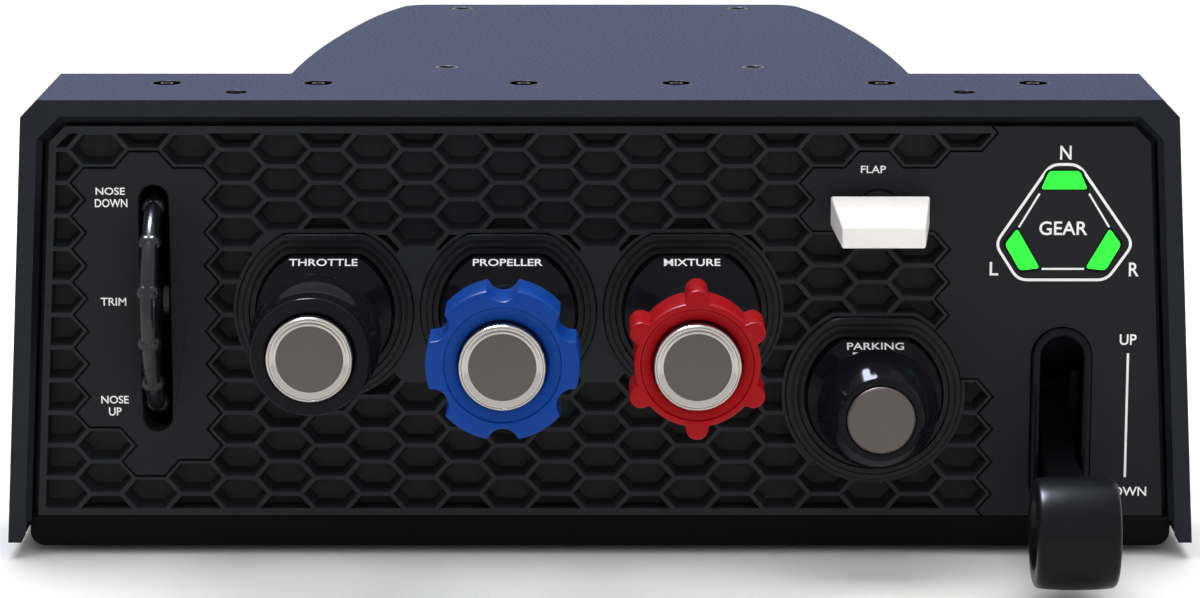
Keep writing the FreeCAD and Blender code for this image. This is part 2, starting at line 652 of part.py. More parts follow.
def countersunk(name, kind, x, y):
    """One countersunk screw with a hexagon drive, flush with the roof."""
    head, thick = f"sizes.{kind}_head_radius", f"sizes.{kind}_head_thick"
    shank, length = f"sizes.{kind}_shank_radius", f"sizes.{kind}_shank_length"
    top = "(sizes.roof_height - sizes.fit / 4)"
    solid = fuse(
        f"{name}_blank",
        cone(f"{name}_head", shank, head, thick, (x, y, f"{top} - {thick}"), "z"),
        cylinder(f"{name}_shank", shank, length, (x, y, f"{top} - {length}"), "z"),
    )
    drive = hexagon(f"{name}_drive", "sizes.drive_radius", "sizes.drive_depth + sizes.overcut",
                    (x, y, f"{top} - sizes.drive_depth"), "z")
    return cut(name, solid, drive)


USB_BOTTOM = "(sizes.board_height + sizes.board_thick)"


def make_tray():
    """Bottom tray with a front lip, side walls and board standoffs."""
    tray = new_body("tray_body")
    rear = "sizes.wide_depth - sizes.wall - sizes.fit"
    inset = "(sizes.wall + sizes.fit + sizes.play)"
    plan = mirrored([
        (f"-{TRAY_WIDTH} / 2", "sizes.lip_back"),
        (f"-{TRAY_WIDTH} / 2", rear),
    ] + tail_outline(rear, inset))
    pad(tray, "tray_floor",
        sketch(tray, "tray_plan", "XY", plan, "sizes.foot_height", tail_radii(2, inset)),
        "sizes.floor_thick")
    lip = [
        ("sizes.lip_front", "sizes.lip_top"),
        ("sizes.lip_front + sizes.lip_thick", "sizes.lip_top"),
        ("sizes.lip_back + sizes.lip_thick", TRAY_TOP),
        ("sizes.lip_back + sizes.lip_thick", "sizes.foot_height"),
        ("sizes.lip_back", "sizes.foot_height"),
    ]
    pad(tray, "tray_lip", sketch(tray, "lip_section", "YZ", lip),
        TRAY_WIDTH, midplane=True)
    for side, sx in (("left", "-1"), ("right", "1")):
        inner = f"({TRAY_WIDTH} / 2 - sizes.floor_thick)"
        wall = [
            (f"{sx} * {TRAY_WIDTH} / 2", "sizes.lip_back"),
            (f"{sx} * {TRAY_WIDTH} / 2", rear),
            (f"{sx} * {inner}", rear),
            (f"{sx} * {inner}", "sizes.lip_back"),
        ]
        back = [(u, v if v == rear else "sizes.panel_front + sizes.panel_thick + sizes.fit")
                for u, v in wall]
        pad(tray, f"tray_{side}_low", sketch(tray, f"{side}_low_plan", "XY", wall,
                                             "sizes.foot_height"),
            "sizes.lip_top - sizes.foot_height")
        pad(tray, f"tray_{side}_wall", sketch(tray, f"{side}_wall_plan", "XY", back,
                                              "sizes.foot_height"),
            "sizes.tray_rim - sizes.foot_height")
    doc.recompute()
    half, low = value(TRAY_WIDTH) / 2, size("foot_height")
    names = [
        f"Edge{i}" for i, e in enumerate(tray.Shape.Edges, start=1)
        if abs(e.BoundBox.ZMin - low) < 1e-4 and abs(e.BoundBox.ZMax - low) < 1e-4
        and abs(abs(e.BoundBox.Center.x) - half) < 1e-4
    ]
    tip = tray.Tip
    rounding = tray.newObject("PartDesign::Fillet", "tray_rounding")
    rounding.Base = (tip, names)
    bind(rounding, Radius="sizes.tray_round")

    standoffs = [
        cylinder(f"standoff_{i}", "sizes.standoff_radius",
                 "sizes.board_height - sizes.foot_height - sizes.floor_thick / 2",
                 (x, y, "sizes.foot_height + sizes.floor_thick / 2"), "z")
        for i, (x, y) in enumerate(board_corners())
    ]
    holes = [
        cylinder(f"tray_bore_{i}", "sizes.base_screw_radius + sizes.fit / 2",
                 "sizes.floor_thick + 2 * sizes.overcut",
                 (x, y, "sizes.foot_height - sizes.overcut"), "z")
        for i, (x, y, _) in enumerate(POSTS)
    ]
    node(cut("tray_cut", fuse("tray_whole", tray, *standoffs), *holes), "base_tray")


def board_corners():
    """Places of the four standoffs under the control board."""
    x = "(sizes.board_width / 2 - sizes.standoff_inset)"
    rows = ("sizes.board_front + sizes.standoff_inset",
            "sizes.board_back - sizes.standoff_inset")
    return [(f"{sx}{x}", y) for sx in ("-", "") for y in rows]


# --- honeycomb panel and its plates ----------------------------------------

def cell_centre(column, row):
    """Middle of a honeycomb cell; odd columns sit half a row higher."""
    lift = 0.5 if column % 2 else 0.0
    return FreeCAD.Vector(column * size("cell_pitch_x"), 0,
                          size("cell_datum") + (lift - row) * size("cell_pitch_z"))


def polygon_face(corners, y):
    """Flat face in an xz plane from (x, z) corners."""
    points = [FreeCAD.Vector(x, y, z) for x, z in corners]
    return Part.Face(Part.makePolygon(points + points[:1]))


def cell_face(inset, y):
    """Honeycomb cell around the origin, narrowed by inset."""
    corner, top = size("cell_length") / 2, size("cell_top") / 2
    half = size("cell_pitch_z") / 2
    slant = math.hypot(corner - top, half)
    corner -= inset * slant / half
    top -= inset * (slant - (size("cell_length") - size("cell_top")) / 2) / half
    half -= inset
    return polygon_face([(-corner, 0), (-top, half), (top, half),
                         (corner, 0), (top, -half), (-top, -half)], y)


def outline_face(offset, corner, bottom, y):
    """Whole housing outline moved inwards, as a flat face."""
    corners = [(value(u), value(v)) for u, v in
               mirrored(front_outline(offset, corner, bottom))]
    return polygon_face(corners, y)


def slab(face, thickness):
    """Extrude a flat face inwards."""
    return face.extrude(FreeCAD.Vector(0, thickness, 0))


def cells_slab(cells, inset, y, thickness):
    """Slab of joined cells whose outer edge is narrowed by inset."""
    faces = []
    for column, row in cells:
        face = cell_face(0.0, y)
        face.translate(cell_centre(column, row))
        faces.append(face)
    joined = faces[0].fuse(faces[1:]).removeSplitter()
    return slab(joined.Faces[0].makeOffset2D(-inset, join=2), thickness)


def ring_slab(x, z, radius, flat, y, thickness):
    """Disc with a flat top, as used by the control rings."""
    axis = FreeCAD.Vector(0, 1, 0)
    disc = Part.makeCylinder(radius, thickness, FreeCAD.Vector(x, y, z), axis)
    keep = Part.makeBox(4 * radius, thickness, 2 * radius + flat,
                        FreeCAD.Vector(x - 2 * radius, y, z - 2 * radius))
    return disc.common(keep)


TRIM_CELLS = [(-11, r) for r in range(1, 9)] + [(-10, r) for r in range(0, 10)] \
    + [(-9, r) for r in range(1, 10)]
SWITCH_CELLS = [(5, 1), (5, 2), (6, 0), (6, 1), (6, 2), (7, 1), (7, 2)] \
    + [(8, r) for r in range(0, 7)] + [(c, r) for c in range(9, 14) for r in range(-2, 14)]
PLAIN_CELLS = [(c, r) for c in (-4, 0) for r in range(3, 7)]
CONTROLS = {
    "throttle": ("-1.5 * sizes.control_pitch", "sizes.control_height"),
    "propeller": ("-sizes.control_pitch / 2", "sizes.control_height"),
    "mixture": ("sizes.control_pitch / 2", "sizes.control_height"),
    "parking": ("1.5 * sizes.control_pitch", "sizes.parking_height"),
}
PANEL_OFFSET = "(sizes.face_width + sizes.face_slope + sizes.panel_gap)"
PANEL_BOTTOM = "(sizes.lip_top + sizes.play)"
PANEL_BACK = "(sizes.panel_front + sizes.panel_thick)"
PLATE_FRONT = "(sizes.panel_front + sizes.plate_seat - sizes.plate_thick)"


def lamp_shape(angle, grow, y, thickness):
    """Trapezoid lamp, wide side towards the middle of the lamps."""
    inner, outer = size("lamp_inner") / 2 + grow, size("lamp_outer") / 2 + grow
    low = size("lamp_orbit") - size("lamp_height") / 2 - grow
    high = size("lamp_orbit") + size("lamp_height") / 2 + grow
    solid = slab(polygon_face([(-inner, low), (-outer, high), (outer, high), (inner, low)], y),
                 thickness)
    solid.rotate(FreeCAD.Vector(), FreeCAD.Vector(0, 1, 0), -angle)
    solid.translate(FreeCAD.Vector(value(LAMP_X), 0, size("lamp_z")))
    return solid


LAMPS = {"nose_lens": 0.0, "left_lens": 120.0, "right_lens": -120.0}


def stadium_shape(x, low, high, width, y, thickness):
    """Slot with round ends, standing upright."""
    radius = width / 2
    axis = FreeCAD.Vector(0, 1, 0)
    middle = Part.makeBox(width, thickness, high - low - width,
                          FreeCAD.Vector(x - radius, y, low + radius))
    ends = [Part.makeCylinder(radius, thickness, FreeCAD.Vector(x, y, z), axis)
            for z in (low + radius, high - radius)]
    return middle.fuse(ends).removeSplitter()


def front_cuts(y, thickness):
    """Slots, windows and the switch bore, through whatever lies at y."""
    half = size("slot_height") / 2
    gap = size("fit")
    cuts = [
        stadium_shape(-value(TRIM_X), size("slot_centre") - half, size("slot_centre") + half,
                      size("slot_width"), y, thickness),
        stadium_shape(value(GEAR_X), size("gear_slot_low") - size("rim_width") - gap,
                      size("gear_slot_high") + size("rim_width") + gap,
                      size("gear_slot_width") + 2 * size("rim_width") + 2 * gap, y, thickness),
        Part.makeCylinder(size("bushing_radius") + gap, thickness,
                          FreeCAD.Vector(size("flap_x"), y, size("flap_z")),
                          FreeCAD.Vector(0, 1, 0)),
    ]
    cuts += [lamp_shape(angle, gap / 2, y, thickness) for angle in LAMPS.values()]
    return cuts


def make_panel():
    """Front panel with its honeycomb, ring seats, plate recesses and lugs."""
    front, thick = size("panel_front"), size("panel_thick")
    past = size("overcut")
    face = outline_face(PANEL_OFFSET, "sizes.panel_cut", PANEL_BOTTOM, front)
    solid = slab(face, thick)
    flange = outline_face("(sizes.wall + sizes.fit)",
                          f"sizes.shoulder_drop - sizes.fit * {MITRE} + sizes.overcut",
                          PANEL_BOTTOM, front + thick - size("flange_thick"))
    solid = solid.fuse(slab(flange, size("flange_thick")))
    for sx in (-1, 1):
        lug = Part.makeBox(
            size("lug_width"), size("lug_depth"), size("lug_height"),
            FreeCAD.Vector(sx * size("lug_x") - size("lug_width") / 2, front + thick,
                           value(ROOF_UNDER) - size("fit") - size("lug_height")))
        bore = Part.makeCylinder(
            size("small_shank_radius") + size("fit") / 2, size("lug_height") + past,
            FreeCAD.Vector(sx * size("lug_x"), size("lug_y"), lug.BoundBox.ZMin + past))
        root = Part.makeBox(
            size("lug_width"), size("flange_thick") + past, size("lug_height") - past,
            FreeCAD.Vector(lug.BoundBox.XMin, front + thick - past, lug.BoundBox.ZMin - past))
        solid = solid.fuse([lug, root]).cut(bore)
    solid = solid.removeSplitter()

    region = outline_face(f"{PANEL_OFFSET} + sizes.panel_border",
                          f"sizes.panel_cut - sizes.panel_border * {MITRE}",
                          f"{PANEL_BOTTOM} + sizes.panel_border", front)
    depth, rib = size("pocket_depth"), size("rib")
    for x, z in CONTROLS.values():
        clear = ring_slab(value(x), value(z), size("ring_radius") + rib,
                          size("ring_flat") + rib, front - past, 2 * past)
        region = region.cut(clear)
    tools = []
    for column in range(-13, 14):
        for row in range(-1, 12):
            if (column, row) in TRIM_CELLS + SWITCH_CELLS + PLAIN_CELLS:
                continue
            rim, floor = cell_face(rib / 2, front), cell_face(
                rib / 2 + size("pocket_draft"), front + depth)
            rim.translate(cell_centre(column, row))
            floor.translate(cell_centre(column, row))
            kept = rim.common(region)
            if kept.Area < size("least_pocket"):
                continue
            frustum = Part.makeLoft([rim.OuterWire, floor.OuterWire], True, True)
            if kept.Area < rim.Area - 1e-3:
                frustum = frustum.common(slab(kept.Faces[0], depth))
            tools += frustum.Solids
    gap = size("plate_inset") - size("plate_gap")
    seat = size("plate_seat")
    tools.append(cells_slab(TRIM_CELLS, gap, front, seat))
    tools.append(cells_slab(SWITCH_CELLS, gap, front, seat))
    for x, z in CONTROLS.values():
        tools.append(ring_slab(value(x), value(z), size("ring_radius") + size("fit"),
                               size("ring_flat") + size("fit"), front, size("ring_seat")))
        tools.append(ring_slab(value(x), value(z), size("ring_bore"), size("bore_flat"),
                               front, thick))
    tools += front_cuts(front - past, thick + 2 * past)
    room = 2 * size("play")
    cheek = size("cheek_gap") + size("cheek_thick") + room
    tools.append(Part.makeBox(
        2 * cheek + size("encoder_length"), size("relief_depth"),
        2 * (size("trim_boss") + room),
        FreeCAD.Vector(-value(TRIM_X) - cheek - size("encoder_length"),
                       front + thick - size("relief_depth"),
                       size("trim_height") - size("trim_boss") - room)))
    feature("front_panel", solid.cut(tools))


def make_plates():
    """The two plates that lie in the panel recesses."""
    y, thick, past = value(PLATE_FRONT), size("plate_thick"), size("overcut")
    face = outline_face(PANEL_OFFSET, "sizes.panel_cut", PANEL_BOTTOM, y)
    cuts = front_cuts(y - past, thick + 2 * past)
    cuts += [ring_slab(value(x), value(z), size("ring_radius") + size("fit"),
                       size("ring_flat") + size("fit"), y - past, thick + 2 * past)
             for x, z in CONTROLS.values()]
    for label, cells in (("trim_plate", TRIM_CELLS), ("switch_plate", SWITCH_CELLS)):
        plate = cells_slab(cells, size("plate_inset"), y, thick).common(slab(face, thick))
        feature(label, plate.cut(cuts))


def feature(label, shape):
    """Keep a shape made with Part's functions as a node."""
    obj = doc.addObject("Part::Feature", label)
    obj.Shape = shape.Solids[0] if len(shape.Solids) == 1 else shape
    node(obj, label)


# --- push-pull controls ----------------------------------------------------

def flat_disc(name, x, z, radius, flat, y, thickness):
    """Round disc with a flat top, made from primitives."""
    disc = cylinder(f"{name}_disc", radius, thickness, (x, y, z))
    keep = box(f"{name}_keep", x, y, f"{z} - 2 * ({radius})", f"4 * ({radius})", thickness,
               f"2 * ({radius}) + ({flat})")
    return common(name, disc, keep)


def make_control_mounts(name, x, z):
    """Ring, collar and guide barrel of one control."""
    base_front = "(sizes.panel_front - sizes.ring_proud)"
    step_front = f"({base_front} - sizes.step_proud)"
    lower = flat_disc(f"{name}_ring_base", x, z, "sizes.ring_radius", "sizes.ring_flat",
                      base_front, "sizes.ring_proud + sizes.ring_seat")
    upper = flat_disc(f"{name}_ring_step", x, z, "sizes.step_radius", "sizes.step_flat",
                      step_front, "sizes.step_proud + sizes.ring_proud")
    bore = flat_disc(f"{name}_ring_bore", x, z, "sizes.ring_bore", "sizes.bore_flat",
                     f"{step_front} - sizes.overcut",
                     "sizes.step_proud + sizes.ring_proud + sizes.ring_seat"
                     " + 2 * sizes.overcut")
    node(cut(f"{name}_ring_cut", fuse(f"{name}_ring_whole", lower, upper), bore),
         f"{name}_ring")

    radius = "(sizes.ring_bore - sizes.fit)"
    flat = "(sizes.bore_flat - sizes.fit)"
    body = flat_disc(f"{name}_collar_body", x, z, radius, flat, "-sizes.collar_edge",
                     f"sizes.collar_edge + {PANEL_BACK}")
    dome = cone(f"{name}_collar_dome", "sizes.barrel_head", radius,
                "sizes.collar_dome - sizes.collar_edge", (x, "-sizes.collar_dome", z))
    flange = cylinder(f"{name}_collar_flange", "sizes.collar_flange", "sizes.collar_back",
                      (x, PANEL_BACK, z))
    facet = box(f"{name}_facet", x, "0", "0", f"3 * {radius}", radius, radius)
    put(facet, f"{x} - 1.5 * {radius}", "-sizes.collar_edge", f"{z} + {flat}")
    for part, given in (("Axis.x", "1"), ("Axis.z", "0"), ("Angle", "90 + sizes.collar_slant")):
        facet.setExpression(f"Placement.Rotation.{part}", given)
    hole = cylinder(f"{name}_collar_hole", "sizes.barrel_radius + sizes.fit",
                    f"sizes.collar_dome + {PANEL_BACK} + sizes.collar_back"
                    " + 2 * sizes.overcut", (x, "-sizes.collar_dome - sizes.overcut", z))
    node(cut(f"{name}_collar_cut", fuse(f"{name}_collar_whole", body, dome, flange),
             facet, hole), f"{name}_collar")

    head_front = "(sizes.collar_dome + sizes.barrel_lip)"
    tube = fuse(
        f"{name}_barrel_whole",
        cylinder(f"{name}_barrel_head", "sizes.barrel_head", "sizes.barrel_lip",
                 (x, f"-{head_front}", z)),
        cylinder(f"{name}_barrel_tube", "sizes.barrel_radius",
                 f"{head_front} + sizes.barrel_end", (x, f"-{head_front}", z)),
    )
    hollow = cylinder(f"{name}_barrel_bore", "sizes.rod_radius + sizes.play",
                      f"{head_front} + sizes.barrel_end + 2 * sizes.overcut",
                      (x, f"-{head_front} - sizes.overcut", z))
    node(cut(f"{name}_barrel_cut", tube, hollow), f"{name}_barrel")

    nut = hexagon(f"{name}_nut_blank", "sizes.nut_radius", "sizes.nut_thick",
                  (x, f"{PANEL_BACK} + sizes.collar_back", z))
    thread = cylinder(f"{name}_nut_bore", "sizes.barrel_radius + sizes.fit / 2",
                      "sizes.nut_thick + 2 * sizes.overcut",
                      (x, f"{PANEL_BACK} + sizes.collar_back - sizes.overcut", z))
    return cut(f"{name}_nut", nut, thread)


def knob_cuts(name, x, z, back, face):
    """Rod bore and button recess of a knob, from its rear and front y."""
    recess = "(sizes.button_thick - sizes.button_proud + sizes.button_travel + sizes.play)"
    return [
        cylinder(f"{name}_rod_bore", "sizes.rod_radius + sizes.play",
                 "sizes.rod_entry + sizes.play + sizes.overcut",
                 (x, f"{back} - sizes.rod_entry - sizes.play", z)),
        cylinder(f"{name}_recess", "sizes.button_radius + sizes.play",
                 f"{recess} + sizes.overcut", (x, f"{face} - sizes.overcut", z)),
        cylinder(f"{name}_stem_bore", "sizes.stem_radius + sizes.play",
                 f"{back} - ({face})", (x, face, z)),
    ]


def make_vernier(name, x, z, reach, knob, back, face):
    """Rod, knob and push button of one engine control."""
    node(cylinder(f"{name}_rod_bar", "sizes.rod_radius",
                  f"sizes.rod_tail - ({back}) + sizes.rod_entry",
                  (x, f"{back} - sizes.rod_entry", z)), f"{name}_rod")
    node(cut(f"{name}_knob_cut", knob, *knob_cuts(name, x, z, back, face)), f"{name}_knob")
    disc = cylinder(f"{name}_button_disc", "sizes.button_radius", "sizes.button_thick",
                    (x, f"-{reach}", z))
    stem = cylinder(f"{name}_button_stem", "sizes.stem_radius",
                    "sizes.button_thick + sizes.stem_length", (x, f"-{reach}", z))
    dish = cylinder(f"{name}_button_dish", "sizes.button_dish",
                    "sizes.dish_depth + sizes.overcut", (x, f"-{reach} - sizes.overcut", z))
    node(cut(f"{name}_button_cut", fuse(f"{name}_button_whole", disc, stem), dish),
         f"{name}_button")


def make_controls():
    """All four push-pull controls."""
    nuts = [make_control_mounts(name, x, z) for name, (x, z) in CONTROLS.items()]
    node(group("nut_set", *nuts), "collar_nuts")

    x, z = CONTROLS["throttle"]
    face = "(sizes.button_proud - sizes.throttle_reach)"
    back = f"({face} + sizes.throttle_length)"
    knob = turned("throttle_knob_body", [
        ("0", "0"),
        ("sizes.throttle_face", "0"),
        ("sizes.throttle_waist", "sizes.throttle_front"),
        ("sizes.throttle_waist", "sizes.throttle_front + sizes.throttle_neck"),
        ("sizes.throttle_flange", "sizes.throttle_length - sizes.throttle_rim"),
        ("sizes.throttle_flange", "sizes.throttle_length"),
        ("0", "sizes.throttle_length"),
    ], x, z, face)
    make_vernier("throttle", x, z, "sizes.throttle_reach", knob, back, face)

    x, z = CONTROLS["propeller"]
    face = "(sizes.button_proud - sizes.knob_reach)"
    back = f"({face} + sizes.propeller_length)"
    disc = cylinder("propeller_disc", "sizes.propeller_radius", "sizes.propeller_length",
                    (x, face, z))
    ring = "(sizes.propeller_radius - sizes.notch_depth + sizes.notch_radius)"
    notches = [
        cylinder(f"finger_notch_{i}", "sizes.notch_radius",
                 "sizes.propeller_length + 2 * sizes.overcut",
                 (f"{x} + {ring} * sin({60 * i} deg)", f"{face} - sizes.overcut",
                  f"{z} + {ring} * cos({60 * i} deg)"))
        for i in range(6)
    ]
    make_vernier("propeller", x, z, "sizes.knob_reach",
                 cut("propeller_knob_blank", disc, *notches), back, face)

    x, z = CONTROLS["mixture"]
    back = f"({face} + sizes.mixture_length)"
    bumps = [
        cylinder(f"grip_bump_{i}", "sizes.bump_radius", "sizes.mixture_length",
                 (f"{x} + sizes.bump_centre * sin({60 * i} deg)", face,
                  f"{z} + sizes.bump_centre * cos({60 * i} deg)"))
        for i in range(6)
    ]
    disc = cylinder("mixture_disc", "sizes.mixture_radius", "sizes.mixture_length",
                    (x, face, z))
    make_vernier("mixture", x, z, "sizes.knob_reach",
                 fuse("mixture_knob_blank", disc, *bumps), back, face)

    x, z = CONTROLS["parking"]
    face = "(sizes.cap_thick / 2 - sizes.parking_reach)"
    length = "sizes.parking_length"
    knob = turned("parking_knob_body", [
        ("0", "0"),
        ("sizes.parking_face", "0"),
        ("sizes.parking_flange", f"{length} - sizes.cap_thick"),
        ("sizes.parking_flange", length),
        ("sizes.parking_hub", length),
        ("sizes.parking_hub", f"{length} + sizes.hub_length"),
        ("0", f"{length} + sizes.hub_length"),
    ], x, z, face)
    back = f"({face} + sizes.parking_length + sizes.hub_length)"
    bore = cylinder("parking_rod_bore", "sizes.rod_radius + sizes.fit / 2",
                    "sizes.rod_entry + sizes.overcut", (x, f"{back} - sizes.rod_entry", z))
    seat = cylinder("parking_cap_seat", "sizes.cap_radius + sizes.fit / 2",
                    "sizes.cap_thick / 2 + sizes.overcut", (x, f"{face} - sizes.overcut", z))
    node(cut("parking_knob_cut", knob, bore, seat), "parking_knob")
    node(cylinder("parking_rod_bar", "sizes.rod_radius",
                  f"sizes.rod_tail - {back} + sizes.rod_entry",
                  (x, f"{back} - sizes.rod_entry", z)), "parking_rod")
    node(cylinder("parking_cap_disc", "sizes.cap_radius", "sizes.cap_thick",
                  (x, "-sizes.parking_reach", z)), "parking_cap")


# --- trim wheel ------------------------------------------------------------

def make_trim():
    """Trim wheel on its axle, bracket and encoder."""
    x, y, z = f"-{TRIM_X}", "sizes.trim_depth", "sizes.trim_height"
    rim = doc.addObject("Part::Torus", "trim_rim")
    bind(rim, Radius1="sizes.trim_radius", Radius2="sizes.trim_section")
    put(turn(rim, "x"), x, y, z)
    balls = []
    count = int(size("trim_balls"))
    for i in range(count):
        ball = doc.addObject("Part::Sphere", f"trim_ball_{i}")
        bind(ball, Radius="sizes.trim_ball")
        angle = f"({i} + 0.5) * 360 deg / {count}"
        balls.append(put(ball, x, f"{y} - sizes.trim_radius * cos({angle})",
                         f"{z} + sizes.trim_radius * sin({angle})"))
    web = cylinder("trim_web_disc", "sizes.trim_radius", "sizes.trim_web",
                   (f"{x} - sizes.trim_web / 2", y, z), "x")
    hub = cylinder("trim_hub_disc", "sizes.trim_hub", "sizes.trim_hub_width",
                   (f"{x} - sizes.trim_hub_width / 2", y, z), "x")
    bore = cylinder("trim_hub_bore", "sizes.axle_radius + sizes.fit / 2",
                    "sizes.trim_hub_width + 2 * sizes.overcut",
                    (f"{x} - sizes.trim_hub_width / 2 - sizes.overcut", y, z), "x")
    node(cut("trim_wheel_cut", fuse("trim_wheel_whole", rim, web, hub, *balls), bore),
         "trim_wheel")

    outside = "(sizes.cheek_gap + sizes.cheek_thick)"
    end = f"({outside} + sizes.encoder_length / 2)"
    node(cylinder("trim_axle_bar", "sizes.axle_radius", f"{end} + {outside}",
                  (f"{x} - {end}", y, z), "x"), "trim_axle")
    depth = "sizes.bracket_back - sizes.bracket_front"
    parts = []
    for side, start in (("left", f"{x} - {outside}"), ("right", f"{x} + sizes.cheek_gap")):
        parts.append(box(f"trim_cheek_{side}", f"{start} + sizes.cheek_thick / 2",
                         "sizes.bracket_front", TRAY_TOP, "sizes.cheek_thick", depth,
                         f"{z} + sizes.trim_boss - {TRAY_TOP}"))
        parts.append(cylinder(f"trim_boss_{side}", "sizes.trim_boss", "sizes.cheek_thick",
                              (start, y, z), "x"))
    parts.append(box("trim_bracket_foot", x, "sizes.bracket_front", TRAY_TOP,
                     f"2 * {outside}", depth, "sizes.cheek_thick"))
    bore = cylinder("trim_bracket_bore", "sizes.axle_radius + sizes.play",
                    f"2 * {outside} + 2 * sizes.overcut",
                    (f"{x} - {outside} - sizes.overcut", y, z), "x")
    node(cut("trim_bracket_cut", fuse("trim_bracket_whole", *parts), bore), "trim_bracket")
    case = cylinder("encoder_case", "sizes.trim_boss", "sizes.encoder_length",
                    (f"{x} - {outside} - sizes.encoder_length", y, z), "x")
    bore = cylinder("encoder_bore", "sizes.axle_radius + sizes.play",
                    "sizes.encoder_length / 2 + sizes.play + sizes.overcut",
                    (f"{x} - {end} - sizes.play", y, z), "x")
    node(cut("encoder_cut", case, bore), "trim_encoder")


# --- gear lever and lamps --------------------------------------------------

def make_gear():
    """Cranked gear arm with its wheel grip, bracket, pin, rim and switches."""
    x, y, z = GEAR_X, "sizes.gear_pivot_y", "sizes.gear_pivot_z"
    half = "sizes.gear_arm_thick / 2"
    low, high = f"sizes.gear_wheel_z - {half}", f"sizes.gear_wheel_z + {half}"
    arm = new_body("gear_arm_body")
    outline = [
        ("-sizes.gear_reach", low),
        (f"sizes.gear_elbow + {half}", f"{low} + sizes.gear_rise"),
        (f"{y} + {half}", f"{z} - {half}"),
        (f"{y} - {half}", f"{z} + {half}"),
        (f"sizes.gear_elbow - {half}", f"{high} + sizes.gear_rise"),
        ("-sizes.gear_reach", high),
    ]
    pad(arm, "gear_arm_pad", sketch(arm, "gear_arm_outline", "YZ", outline),
        "sizes.gear_arm_width", midplane=True)
    put(arm, x)
    start = f"{x} - sizes.gear_arm_width / 2"
    hub = cylinder("gear_arm_hub", "sizes.gear_hub", "sizes.gear_arm_width", (start, y, z), "x")
    bore = cylinder("gear_arm_bore", "sizes.gear_pin + sizes.play",
                    "sizes.gear_arm_width + 2 * sizes.overcut",
                    (f"{start} - sizes.overcut", y, z), "x")
    seat = cylinder("gear_wheel_space", "sizes.gear_wheel_radius",
                    "sizes.gear_wheel_width",
                    (f"{x} - sizes.gear_wheel_shift - sizes.gear_wheel_width / 2",
                     "-sizes.gear_reach",
                     "sizes.gear_wheel_z"), "x")
    node(cut("gear_arm_cut", fuse("gear_arm_whole", arm, hub), bore, seat), "gear_arm")

    wheel = new_body("gear_wheel_body")
    tyre = wheel.newObject("PartDesign::AdditiveCylinder", "gear_tyre")
    bind(tyre, Radius="sizes.gear_wheel_radius", Height="sizes.gear_wheel_width")
    doc.recompute()
    rims = [f"Edge{i}" for i, e in enumerate(tyre.Shape.Edges, start=1)
            if isinstance(e.Curve, Part.Circle)]
    rounding = wheel.newObject("PartDesign::Fillet", "gear_tyre_round")
    rounding.Base = (tyre, rims)
    bind(rounding, Radius="sizes.gear_wheel_round")
    turn(wheel, "x")
    put(wheel, f"{x} - sizes.gear_wheel_shift - sizes.gear_wheel_width / 2",
        "-sizes.gear_reach", "sizes.gear_wheel_z")
    node(wheel, "gear_wheel")

    inside = "(sizes.gear_arm_width / 2 + sizes.gear_side_gap)"
    depth = "2 * sizes.gear_cheek_low"
    front = f"{y} - sizes.gear_cheek_low"
    parts = [
        box(f"gear_cheek_{side}", f"{x} {sign} ({inside} + sizes.cheek_thick / 2)", front,
            TRAY_TOP, "sizes.cheek_thick", depth, f"{z} + sizes.gear_hub - {TRAY_TOP}")
        for side, sign in (("left", "-"), ("right", "+"))
    ]
    parts.append(box("gear_bracket_foot", x, front, TRAY_TOP,
                     f"2 * ({inside} + sizes.cheek_thick)", depth, "sizes.cheek_thick"))
    length = f"2 * ({inside} + sizes.cheek_thick)"
    bore = cylinder("gear_bracket_bore", "sizes.gear_pin + sizes.fit / 2",
                    f"{length} + 2 * sizes.overcut",
                    (f"{x} - ({length}) / 2 - sizes.overcut", y, z), "x")
    node(cut("gear_bracket_cut", fuse("gear_bracket_whole", *parts), bore), "gear_bracket")
    node(cylinder("gear_pin_bar", "sizes.gear_pin", length,
                  (f"{x} - ({length}) / 2", y, z), "x"), "gear_pivot_pin")
    switches = [
        box(f"gear_switch_{i}", f"{x} - {inside} - sizes.cheek_thick - sizes.switch_size / 2",
            front, height, "sizes.switch_size", "sizes.switch_length", "sizes.switch_size")
        for i, height in enumerate((f"{z} - sizes.gear_hub - 2 * sizes.switch_size",
                                    f"{z} + sizes.gear_hub - sizes.switch_size"))
    ]
    node(group("gear_switch_pair", *switches), "gear_switches")

    rim_front = value(PLATE_FRONT) - size("rim_proud")
    depth = value(PANEL_BACK) - rim_front
    width, edge = size("gear_slot_width"), size("rim_width")
    outer = stadium_shape(value(GEAR_X), size("gear_slot_low") - edge,
                          size("gear_slot_high") + edge, width + 2 * edge, rim_front, depth)
    inner = stadium_shape(value(GEAR_X), size("gear_slot_low"), size("gear_slot_high"),
                          width, rim_front - size("overcut"), depth + 2 * size("overcut"))
    feature("gear_slot_rim", outer.cut(inner))


